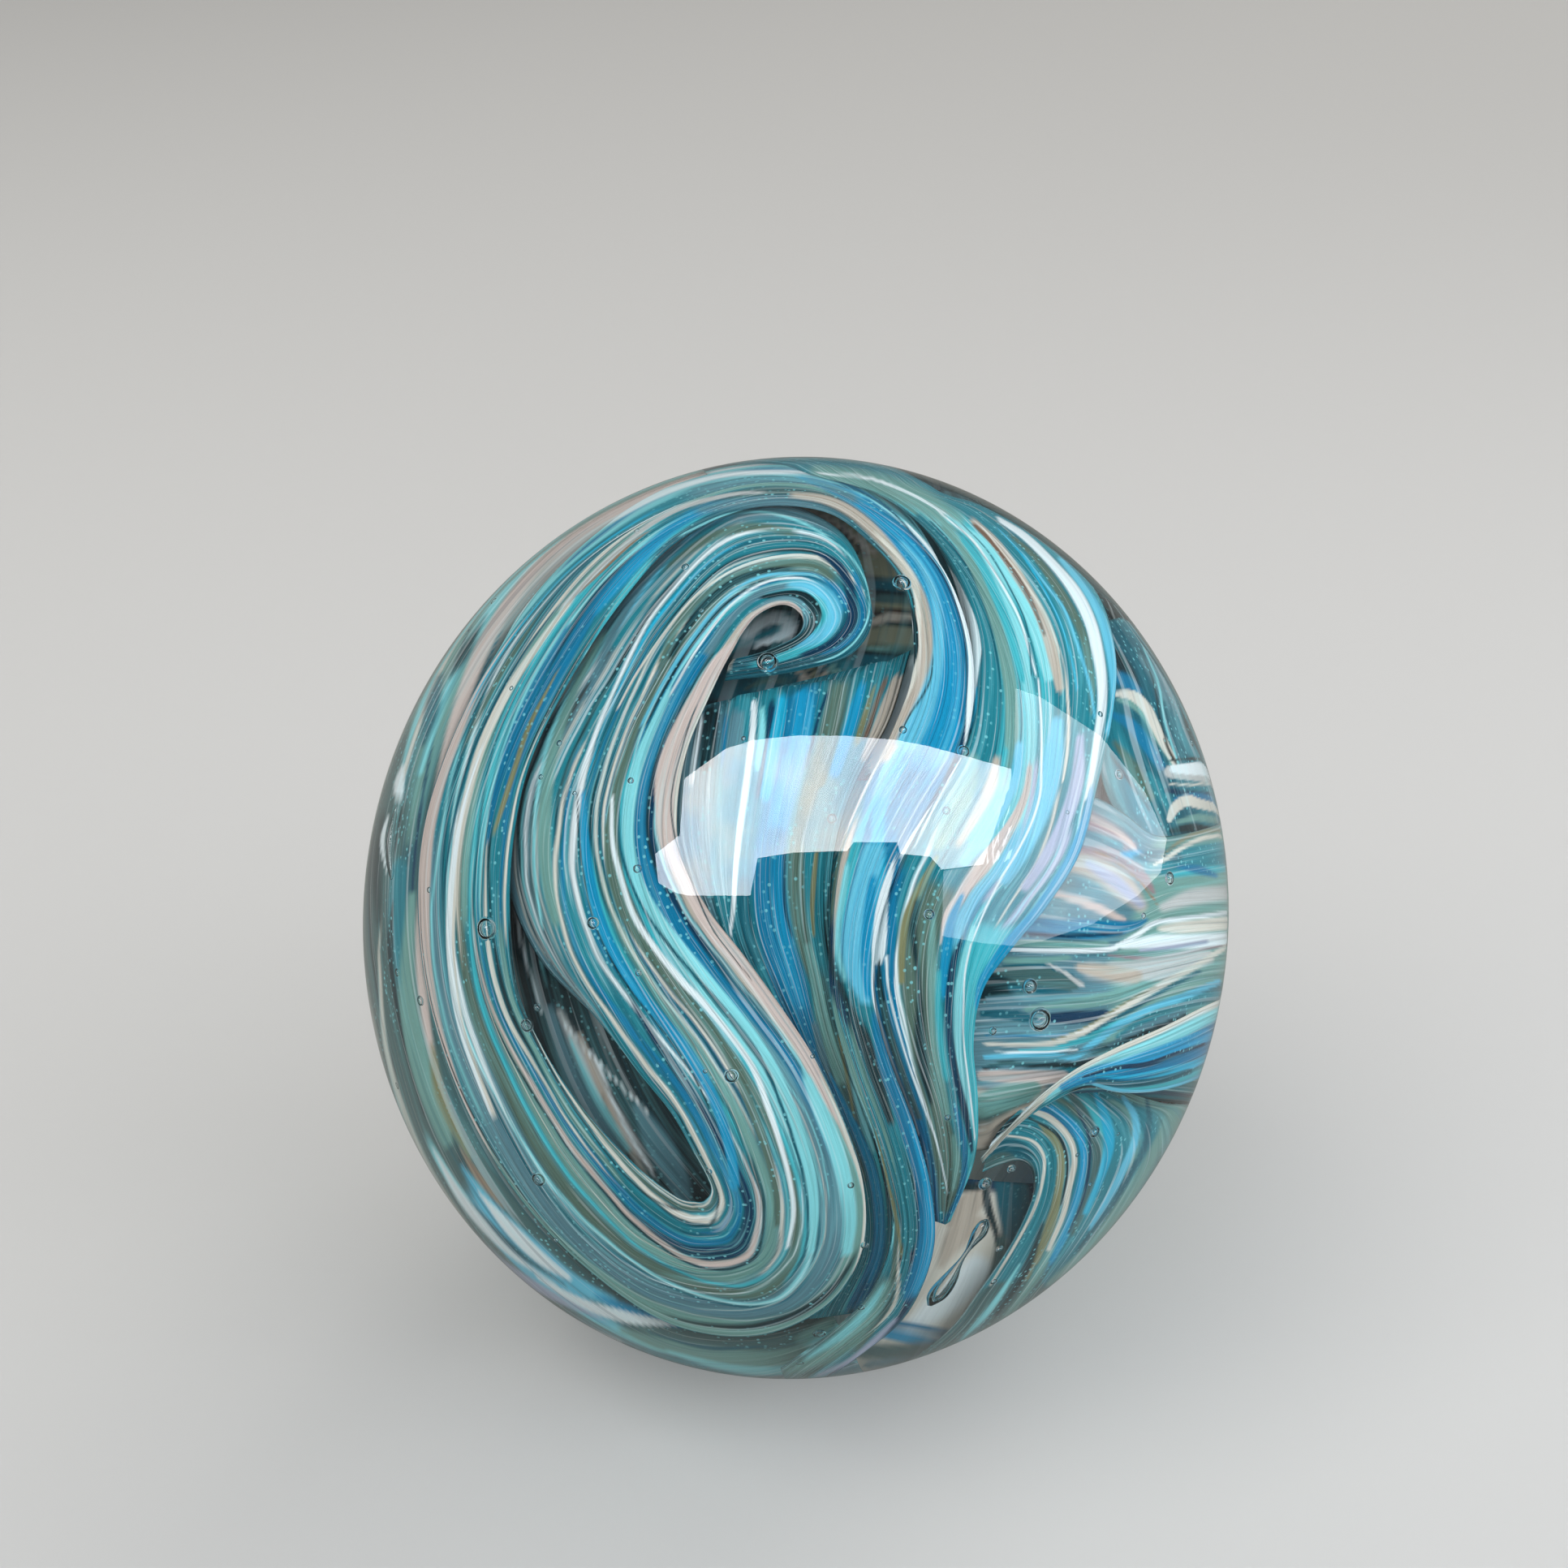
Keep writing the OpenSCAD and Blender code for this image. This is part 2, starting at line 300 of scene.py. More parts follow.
# A station of a strand: u:low-high
STATION = re.compile(r"([\d.]+):(-?[\d.]+)-(-?[\d.]+)")


def row_parts(row, edge):
    """The tone of a row, its softness, which may follow the tone after a tilde, and its stops."""
    name, *stops = row.split()
    name, _, soft = name.partition("~")
    return name, float(soft or edge), stops


class Paint:
    """The colour of each point of a sheet, laid on in strands: a later one covers an earlier.
    Widths and soft edges are shares of v for strands and hairs, and mm for strokes."""

    edge = 0.016
    hair_edge = 0.007
    stroke_edge = 0.16

    # A strand fades over so many stations at its ends, and where it is narrower than this share
    # of its softness
    tip = 0.35
    thinnest = 0.35

    def __init__(self, u, v, seen, tones, ground, seed):
        rng = np.random.default_rng(seed)
        a, b, c = rng.uniform(0, 6.28, 3)
        wander = np.sin(1.9 * u + 7 * v + a) + 0.6 * np.sin(4.3 * u - 11 * v + b)
        self.u = u + 0.0 * v
        self.v = v + 0.0035 * wander + 0.0015 * np.sin(9 * u + 23 * v + c)
        self.seen = seen
        self.tones = tones
        self.rng = rng
        self.colour = np.ones(self.u.shape + (3,)) * tones[ground]

    def lay(self, name, cover):
        """Moves the colour towards the tone by the share that is covered."""
        self.colour += cover[..., None] * (self.tones[name] - self.colour)

    def band(self, name, knots, lows, highs, soft, strength=1.0):
        """A band between two curves of v over u, with eased edges, that tapers at its ends."""
        low = eased(knots, lows, self.u[:, 0])[:, None]
        high = eased(knots, highs, self.u[:, 0])[:, None]
        cover = smooth((self.v - low) / soft + 0.5) * smooth((high - self.v) / soft + 0.5)
        cover *= np.clip((high - low) / (self.thinnest * soft), 0, 1)
        since, until = (self.u - knots[0]) / self.tip, (knots[-1] - self.u) / self.tip
        self.lay(name, strength * (cover * (smooth(since + 0.5) * smooth(until + 0.5))))

    def strands(self, text, echoes=0.3):
        """One strand a row: its tone and softness, then u:low-high at some stations. A dark
        hairline parts each strand from its neighbour on one side: the strands' own dark edge, and
        painted shade that makes the strand look round. Thin threads of other tones are drawn out
        beside some of the longer ones."""
        made = []
        for row in rows_of(text):
            name, soft, stops = row_parts(row, self.edge)
            stations = [[float(n) for n in STATION.fullmatch(s).groups()] for s in stops]
            knots, lows, highs = (np.array(c) for c in zip(*stations))
            self.band(name, knots, lows, highs, soft)
            # Painted shade along one edge of the strand, which is also the strand's own dark edge
            side = lows if self.rng.random() < 0.5 else highs
            half = self.rng.uniform(0.0015, 0.0035)
            part = "deep" if name in ("dark", "navy") else "dark"
            strength = self.rng.uniform(0.2, 0.65)
            self.band(part, knots, side - half, side + half, self.hair_edge, strength)
            if len(knots) > 2:
                made.append((knots, lows, highs))
        for knots, lows, highs in made:
            if self.rng.random() > echoes:
                continue
            name = self.rng.choice(["white", "dark", "cream", "deep", "pale", "navy"])
            side = lows if self.rng.random() < 0.5 else highs
            at = side + self.rng.uniform(-0.02, 0.02)
            half = self.rng.uniform(0.002, 0.005)
            self.band(name, knots, at - half, at + half, 0.01, self.rng.uniform(0.3, 0.75))

    def hairs(self, count, names, length=9.0, half=0.0028):
        """Long fine threads that keep their place across the sheet, each of one of the tones."""
        last = self.u.max()
        for _ in range(count):
            start, reach = self.rng.uniform(-2, last), self.rng.uniform(0.3, 1) * length
            knots = np.linspace(start, start + reach, 4)
            at = self.rng.uniform(0, 1) + self.rng.normal(0, 0.006, 4)
            wide = half * self.rng.uniform(0.5, 1.5)
            name = self.rng.choice(names)
            strength = self.rng.uniform(0.3, 0.8)
            self.band(name, knots, at - wide, at + wide, self.hair_edge, strength)

    def strokes(self, text):
        """One stroke a row: its tone and softness, then x,z,width as seen in mm. A stop without a
        width keeps the last one. A point is covered as far as its distance from the eased path
        is under half the width."""
        for row in rows_of(text):
            name, edge, stops = row_parts(row, self.stroke_edge)
            path = []
            for stop in stops:
                place = [float(n) for n in stop.split(",")]
                path.append(place if len(place) == 3 else place + path[-1][2:])
            knots = np.arange(len(path))
            fine = eased(knots, path, np.linspace(0, len(path) - 1, 10 * len(path)))
            a, b = fine[:-1], fine[1:]
            along = (b - a)[:, :2]
            most = fine[:, 2].max() / 2 + edge
            left_low, right_high = fine[:, :2].min(0) - most, fine[:, :2].max(0) + most
            near = ((self.seen > left_low) & (self.seen < right_high)).all(-1)
            if not near.any():
                continue
            reach = self.seen[near][:, None] - a[:, :2]
            t = (reach * along).sum(-1) / np.maximum((along**2).sum(-1), 1e-9)
            t = np.clip(t, 0, 1)
            gap = np.linalg.norm(reach - t[..., None] * along, axis=-1)
            gap -= (a[:, 2] + t * (b - a)[:, 2]) / 2
            cover = np.zeros(near.shape)
            cover[near] = smooth(0.5 - gap.min(-1) / edge)
            self.lay(name, cover)


# ---- Meshes ----


def volume_of(points, faces):
    """Six times the signed volume: the sum of the corners' triple products, face by face."""
    total = 0.0
    for k in range(1, faces.shape[1] - 1):
        a, b, c = points[faces[:, 0]], points[faces[:, k]], points[faces[:, k + 1]]
        total += np.einsum("ij,ij->", a, np.cross(b, c))
    return total


def new_piece(name, points, face_sets, material, nodes=(), colours=None, uvs=None):
    """A closed mesh from points in mm and arrays of faces, turned outwards, riding on the ball."""
    if sum(volume_of(points, f) for f in face_sets) < 0:
        face_sets = [f[:, ::-1] for f in face_sets]
    mesh = bpy.data.meshes.new(name)
    mesh.from_pydata((points * MM).tolist(), [], [f for s in face_sets for f in s.tolist()])
    mesh.shade_smooth()
    if colours is not None:
        attribute = mesh.color_attributes.new("strand_colour", "FLOAT_COLOR", "POINT")
        flat = np.ones((len(points), 4), np.float32)
        flat[:, :3] = colours
        attribute.data.foreach_set("color", flat.ravel())
    if uvs is not None:
        corners = np.zeros(len(mesh.loops), np.int32)
        mesh.loops.foreach_get("vertex_index", corners)
        layer = mesh.uv_layers.new(name="strands")
        layer.data.foreach_set("uv", uvs[corners].astype(np.float32).ravel())
    if mesh.validate():
        raise RuntimeError(name + " has faces that don't close")
    mesh.materials.append(material)
    piece = bpy.data.objects.new(name, mesh)
    bpy.context.scene.collection.objects.link(piece)
    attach(piece, ROOT)
    if nodes:
        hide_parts(*nodes)
    return piece


def ball_grid(rows, columns):
    """A unit sphere: latitude and longitude rings between two poles, and its faces."""
    lat = np.linspace(0, np.pi, rows + 1)[1:-1, None]
    lon = np.linspace(0, 2 * np.pi, columns, endpoint=False)[None]
    flat = np.cos(lat) + 0 * lon
    rings = np.stack([np.sin(lat) * np.cos(lon), np.sin(lat) * np.sin(lon), flat], -1)
    points = np.vstack([[[0, 0, 1.0]], rings.reshape(-1, 3), [[0, 0, -1.0]]])
    index = 1 + np.arange((rows - 1) * columns).reshape(rows - 1, columns)
    beside = np.roll(index, -1, axis=1)
    last = len(points) - 1
    top = np.stack([np.zeros(columns, int), index[0], beside[0]], -1)
    foot = np.stack([np.full(columns, last), beside[-1], index[-1]], -1)
    return points, [rows_of_quads(index, beside), top, foot]


class Sheet:
    """A ribbon of glass. Its guide lines are drawn as seen, one for each place across it. A lap is
    a strip past an edge that dips under the neighbouring ribbon: its width in mm at stations."""

    # Width of a lap as a share of v, and its dip as a share of the ball's radius
    lap_share = 0.12
    lap_dip = 0.042

    def __init__(self, lines, laps=((), ()), steps=8, columns=72, back=12):
        lines = np.array(lines, float)
        across = np.linspace(0, 1, len(lines))
        stations = np.arange(lines.shape[1])
        self.last = stations[-1]
        self.back = back
        self.u = np.linspace(0, self.last, self.last * steps + 1)[:, None]
        self.laps = [0 * self.u, 0 * self.u]
        for end, (lap, edge, inner) in enumerate(zip(laps, (0, -1), (1, -2))):
            if len(lap) == 0:
                continue
            at, widths = np.array(lap, float).T
            reach = np.interp(stations, at, widths)[:, None]
            past = lines[edge] + reach * unit(lines[edge] - lines[inner])
            self.laps[end] = smooth(np.interp(self.u, at, widths))
            if end == 0:
                lines = np.concatenate([past[None], lines])
                across = np.concatenate([[-self.lap_share], across])
            else:
                lines = np.concatenate([lines, past[None]])
                across = np.concatenate([across, [1 + self.lap_share]])
        even = np.linspace(0, 1, columns + 1)
        self.share = (0.85 * even + 0.15 * (1 - np.cos(np.pi * even)) / 2)[None]
        self.v = across[0] + (across[-1] - across[0]) * self.share
        along = eased(stations, lines.transpose(1, 0, 2), self.u[:, 0])
        self.seen = eased(across, along.transpose(1, 0, 2), self.v[0]).transpose(1, 0, 2)

    def scalloped(self, count, deep):
        """Draws the start out into round tongues: the sine of v, root of its size, fades over u."""
        away = unit(self.seen[:1] - self.seen[self.back : self.back + 1])
        tongue = np.abs(np.sin(np.pi * (count * self.v + 0.6 * np.sin(5 * self.v)))) ** 0.5
        self.seen = self.seen + (deep * tongue * (1 - smooth(self.u / 1.2)))[..., None] * away
        return self

    def paint(self, tones, ground, seed):
        """The sheet's colour, all of one tone to begin with."""
        return Paint(self.u, self.v, self.seen, tones, ground, seed)

    def shell(self, ball, depth, thick, relief=0.0, sinks=(0, 0), side=1, ridges=6.0, seed=1):
        """Front points lie out from the middle depth and back points in from it, by half the
        thickness times the power 0.3 of 4 v (1 - v), so both edges are round. The strands stand
        out from the front as low waves across it. The ends sink towards the centre."""
        a, b, c = np.random.default_rng(seed).uniform(0, 6.28, 3)
        u, v = self.u, self.v
        grow = ball.half_w * 2 / GUIDE_WIDTH
        x, z = grow * self.seen[..., 0], grow * self.seen[..., 1]
        span = min(4, self.last / 2)
        sunk = sinks[0] * (1 - smooth(u / span)) + sinks[1] * (1 - smooth((self.last - u) / span))
        dip = self.laps[0] * smooth(-v / self.lap_share)
        dip = dip + self.laps[1] * smooth((v - 1) / self.lap_share)
        middle = depth - sunk - self.lap_dip * dip
        full = np.maximum(0, 4 * self.share * (1 - self.share))
        bulge = thick / (2 * ball.half_w) * full**0.3 + 0 * u
        kinds = ((1, 1, 0.35, a), (0.5, 2.3, -0.22, b), (0.8, 0.45, 0.5, c))
        waves = sum(
            tall * np.sin(2 * np.pi * often * ridges * v + drift * u + start)
            for tall, often, drift, start in kinds
        )
        waves = waves * relief / (2 * ball.half_w) * full**0.5
        front = ball.placed(x, z, middle + bulge + waves, side)
        pick = np.linspace(v.shape[1] - 1, 0, self.back + 1).round().astype(int)[1:-1]
        rear = ball.placed(x[:, pick], z[:, pick], (middle - bulge)[:, pick], side)
        rings = np.concatenate([front, rear], axis=1)
        count = rings.shape[1]
        index = np.arange(rings.shape[0] * count).reshape(-1, count)
        beside = np.roll(index, -1, axis=1)
        quads = np.stack([index[:-1], beside[:-1], beside[1:], index[1:]], -1).reshape(-1, 4)
        caps = [index[:1, ::-1], index[-1:]]
        self.pick = pick
        return rings.reshape(-1, 3), [quads, *caps]

    def wrap(self, field):
        """Values of the front's grid, and the same at the back's points, in the shell's order."""
        field = np.broadcast_to(field, self.seen.shape[:2] + field.shape[2:])
        both = np.concatenate([field, field[:, self.pick]], axis=1)
        return both.reshape((-1,) + field.shape[2:])

    def piece(self, name, ball, colour, material, depth, thick, **how):
        """The shell as a piece with its colours, and with u and v for the material's streaks."""
        nodes = how.pop("nodes", (name,))
        slot = how.pop("slot", name)
        points, faces = self.shell(ball, depth, thick, **how)
        uv = np.stack([self.u + 0 * self.v, self.v + 0 * self.u], -1)
        label = name if nodes != (name,) else name + "_strands"
        return new_piece(
            label, points, faces, material, nodes, self.wrap(colour), self.wrap(uv)
        )


# ---- Materials ----


def maths(operation, swapped=False):
    """A method that adds a Math node of that kind."""

    def method(self, other):
        values = (other, self) if swapped else (self, other)
        return self.nodes.add("ShaderNodeMath", {"operation": operation}, *values)

    return method


class Val:
    """A socket that carries a number, so that maths on it reads as Python and adds Math nodes."""

    def __init__(self, nodes, socket):
        self.nodes, self.socket = nodes, socket

    __add__ = __radd__ = maths("ADD")
    __mul__ = __rmul__ = maths("MULTIPLY")
    __sub__ = maths("SUBTRACT")
    __rsub__ = maths("SUBTRACT", swapped=True)
    max = maths("MAXIMUM")

    def step(self, low, high):
        """Eases from 0 where this is low to 1 where it is high."""
        return self.nodes.add(
            "ShaderNodeMapRange", {"interpolation_type": "SMOOTHSTEP"}, self, low, high, 0.0, 1.0
        )


class Nodes:
    """The node tree of one material."""

    def __init__(self, owner):
        owner.use_nodes = True
        self.tree = owner.node_tree
        self.tree.nodes.clear()

    def add(self, kind, settings=None, *values, out=0, **named):
        """A node of that kind: its settings first, then the values or links of its sockets."""
        node = self.tree.nodes.new(kind)
        for key, value in (settings or {}).items():
            setattr(node, key, value)
        for key, value in [*enumerate(values), *named.items()]:
            socket = node.inputs[key.replace("_", " ") if isinstance(key, str) else key]
            if isinstance(value, Val):
                self.tree.links.new(value.socket, socket)
            else:
                socket.default_value = value
        return Val(self, node.outputs[out])

    def blend(self, factor, a, b):
        """Mixes two colours by a factor."""
        node = self.tree.nodes.new("ShaderNodeMix")
        node.data_type = "RGBA"
        for index, value in ((0, factor), (6, a), (7, b)):
            if isinstance(value, Val):
                self.tree.links.new(value.socket, node.inputs[index])
            elif index:
                node.inputs[index].default_value = (*value, 1.0)
            else:
                node.inputs[index].default_value = value
        return Val(self, node.outputs[2])

    def noise(self, place, scale, detail, rough, warp=0.0):
        """Cloudy noise, from 0 to 1."""
        return self.add(
            "ShaderNodeTexNoise", Vector=place, Scale=scale, Detail=detail, Roughness=rough,
            Distortion=warp,
        )

    def streaks(self, place, along, across, start, detail, rough, warp=0.0):
        """Noise drawn out along u: how often it changes along and across the strands."""
        place = self.add(
            "ShaderNodeMapping", Vector=place, Scale=(along, across, 1.0), Location=(*start, 0.0)
        )
        return self.noise(place, 1.0, detail, rough, warp)

    def finish(self, shader, kind="ShaderNodeOutputMaterial"):
        """Links the shader to the tree's output."""
        end = self.tree.nodes.new(kind)
        self.tree.links.new(shader.socket, end.inputs["Surface"])


def coloured_glass(name, tones, seeds=1.0, streak=1.0, fine=38.0):
    """Opaque coloured glass under clear glass. The strands come with the mesh. Finer streaks run
    along u and paint cloudy shade on them, paler where it is least, crisp threads part them, and
    seeds of trapped air lie in the darker glass. The threads' dark and pale lines are thin threads
    of the glass, and also painted shade in the grooves and painted highlight on the crests. The
    streaks and threads stand out a little, as drawn strands do."""
    darker, painted_light_share, seeded = 0.26 * streak, 0.2 * streak, 0.62 * seeds
    dark, deep, pale, white = (tuple(tones[t]) for t in ("dark", "deep", "pale", "white"))
    material = bpy.data.materials.new(name)
    n = Nodes(material)
    strand = n.add("ShaderNodeAttribute", {"attribute_name": "strand_colour"})
    place = n.add("ShaderNodeUVMap", {"uv_map": "strands"})
    slow = n.streaks(place, 0.32, fine * 0.3, (0.0, 0.0), 3.0, 0.55, 0.4)
    quick = n.streaks(place, 0.45, fine, (3.0, 5.0), 3.0, 0.6, 0.3)
    threads = n.streaks(place, 0.2, fine * 0.9, (9.0, 1.0), 1.0, 0.4)
    hairs = n.streaks(place, 0.3, fine * 2.2, (1.0, 7.0), 1.0, 0.5)

    # Slow and quick streaks paint cloudy shade on the strands, and paint them paler where they are
    # least shaded. Threads and hairlines part them.
    shade = slow.step(0.35, 0.65) * 0.5 + quick.step(0.3, 0.7) * 0.5
    colour = n.blend(shade * darker, strand, n.blend(0.6, strand, dark))
    colour = n.blend((1.0 - shade).step(0.45, 1.0) * painted_light_share, colour, pale)
    # Thin dark and pale threads of the glass. The threads' dark lines also lie in the bump's grooves
    # as painted shade, and their pale lines on its crests as painted highlight.
    for lines, low, high, share in ((threads, 0.32, 0.63, 0.24), (hairs, 0.33, 0.62, 0.15)):
        dark_thread_and_groove_shade = 1.0 - lines.step(low, low + 0.05)
        pale_thread_and_crest_highlight = lines.step(high, high + 0.05)
        colour = n.blend(dark_thread_and_groove_shade * (1.2 * share * streak), colour, deep)
        colour = n.blend(pale_thread_and_crest_highlight * (share * streak), colour, white)

    # Seeds: a spot about every 0.42 mm, in patches, and only where the strand is dark
    spots = n.add(
        "ShaderNodeTexVoronoi", {"feature": "F1"}, Vector=n.add("ShaderNodeTexCoord", out="Object"),
        Scale=1 / (0.42 * MM), Randomness=1.0,
    )
    bright = n.add("ShaderNodeRGBToBW", None, strand)
    patch = n.streaks(place, 0.5, fine * 0.16, (4.0, 4.0), 2.0, 0.5)
    where = patch.step(0.46, 0.58) * (1.0 - bright.step(0.12, 0.34)) * seeded
    colour = n.blend((1.0 - spots.step(0.16, 0.30)) * where, colour, pale)

    height = quick * 0.5 + threads * 0.7 + slow
    raised = n.add("ShaderNodeBump", Strength=0.55, Distance=0.6 * MM, Height=height)
    n.finish(
        n.add(
            "ShaderNodeBsdfPrincipled", Base_Color=colour, Normal=raised, Roughness=1.0,
            Specular_IOR_Level=0.0,
        )
    )
    return material


def clear_glass_material(name, ior=Ball.ior):
    """Clear glass that bends what is seen through it and lets lamps and soft light through."""
    material = bpy.data.materials.new(name)
    n = Nodes(material)
    glass = n.add("ShaderNodeBsdfGlass", Color=(1.0, 1.0, 1.0, 1.0), Roughness=0.0, IOR=ior)
    clear = n.add("ShaderNodeBsdfTransparent")
    shadow = n.add("ShaderNodeLightPath", out="Is Shadow Ray")
    diffuse = n.add("ShaderNodeLightPath", out="Is Diffuse Ray")
    n.finish(n.add("ShaderNodeMixShader", None, shadow.max(diffuse), glass, clear))
    return material


# ---- The long ribbon ----

HAIR_TONES = ("white", "pale", "pale", "cream", "dark", "deep", "navy", "slate")

# Guide lines from the pale outer edge (v = 0) to the far edge (v = 1), x right and z up, in mm
LONG_LINES = guides("""
-4.3,18.4 -2,19 .2,20.1 .5,21.4 -.9,22.2 -2.9,21.2 -4.6,18.6 -5.9,16 -7.5,12.2 -8.2,8.4 -8,5
  -6.2,1.2 -3.6,-2.2 -1,-5.8 1.4,-9.5 3.4,-13.8 4.7,-18.2 4.6,-22.6 2.2,-26.4 -2.6,-28.5
  -8.4,-27.8 -13.8,-24.4 -18.6,-19.6 -22.4,-13.6 -25,-6.8 -26.1,0 -25.8,6.4 -23.9,12.6 -20.7,18.8
  -16,24.6 -10,28.9 -3.6,31 2.4,30.6 7,28.2 10.2,24.8 12,20.4 12.4,16 11.6,11.8 8.9,7.2 6.8,3
  5.6,-1.2 5.5,-5.4 6.6,-9.6 8.2,-13.8 9.4,-18.2 9.6,-22.6 7.8,-27 4.4,-30 0,-33
-4.6,18 -1.6,18.6 1.1,19.9 1.7,21.6 0,23 -3.3,22.2 -5.8,19.2 -7.6,16.4 -9.3,12.6 -10.4,8.4
  -10.3,4.4 -8.8,.2 -6.4,-3.6 -3.8,-7 -1.2,-10.6 .8,-14.8 1.8,-19 1.4,-23 -1.2,-26 -5,-26.6
  -9.8,-25.6 -14.2,-22.6 -17.6,-18.6 -20.8,-12.8 -23.4,-6.4 -24.4,0 -24.2,6.2 -22.4,12.2
  -19.4,18.2 -15,24.3 -9.6,28.3 -3.4,30.5 2.4,30.2 6.7,27.6 9.5,24.4 11,20.4 11.2,16.2 10,12
  7.6,7.8 5.6,3.6 4.5,-.8 4.4,-5.2 5.6,-9.6 7.2,-14 8.4,-18.4 8.6,-22.4 7.1,-26.6 3.9,-29.5
  -.3,-32.4
-4.7,17.6 -1,18.2 2.4,19.6 3.4,21.8 1,24.2 -4,23 -7,20 -9.2,16.6 -11.2,12.6 -12.4,8.2 -12.4,3.8
  -11,-.8 -8.8,-4.6 -6.2,-8.2 -4,-12 -2.4,-16 -1.5,-19.6 -2.2,-22.8 -4.4,-24 -7.4,-24 -11,-22.4
  -14,-19.6 -16.8,-16 -19.4,-11.4 -21.8,-5.8 -22.8,0 -22.6,6 -21,11.8 -18.1,17.9 -13.9,23.8
  -9.1,27.7 -3.2,29.9 2.4,29.7 6.3,27.1 8.8,24.2 10,20.6 10.1,16.4 8.8,12.4 6.4,8.2 4.6,4 3.6,-.6
  3.6,-5.2 4.8,-9.8 6.4,-14.2 7.6,-18.6 7.8,-22.4 6.5,-26.3 3.5,-29.1 -.5,-31.9
-4.8,17.2 -.4,17.9 3.4,19.2 4.7,22 1.6,25.7 -4.2,25 -8.6,20.8 -11.2,16.6 -13.2,12.4 -14.6,8
  -14.6,3.4 -13.2,-1.2 -11,-5.2 -8.6,-9 -6.4,-12.6 -4.8,-16 -3.6,-19.4 -4.2,-21.6 -5.6,-22.2
  -7.8,-22 -10.6,-20.2 -13.2,-17.4 -15.8,-14 -18.2,-9.8 -20.4,-5.2 -21.4,0 -21.2,6 -19.7,11.5
  -16.8,17.4 -12.8,23.2 -8.6,27.1 -3.1,29.3 2.3,29.1 6,26.5 8.2,23.9 9.2,20.6 9.2,16.6 7.8,12.6
  5.5,8.6 3.8,4.4 3,-.4 3,-5.2 4.3,-10 5.9,-14.4 7.1,-18.8 7.2,-22.4 5.8,-26 3,-28.6 -.7,-31.4
-4.9,16.9 .2,17.6 4.2,19 5.3,22.2 2.6,27 -4,27.6 -10,22.2 -13.4,17 -16,12.4 -17.6,8 -17.8,3
  -16.2,-2 -13.6,-6.2 -11,-10 -8.6,-13 -7,-15.8 -5.8,-18.2 -6.2,-19.2 -7,-19.3 -8.2,-19
  -10.6,-17.2 -13,-14.8 -15.2,-12.2 -17.4,-8.8 -19.2,-4.8 -19.8,0 -19.6,5.6 -18.4,11.2 -15.6,17
  -11.9,22.6 -8,26.7 -3,28.9 2.2,28.6 5.7,26 7.6,23.4 8.2,20.4 8.1,17 6.6,13 4.6,9 3,4.8 2.4,-.2
  2.5,-5.2 3.8,-10.2 5.4,-14.6 6.6,-19 6.6,-22.4 5.2,-25.6 2.6,-28.2 -1,-30.8
""")

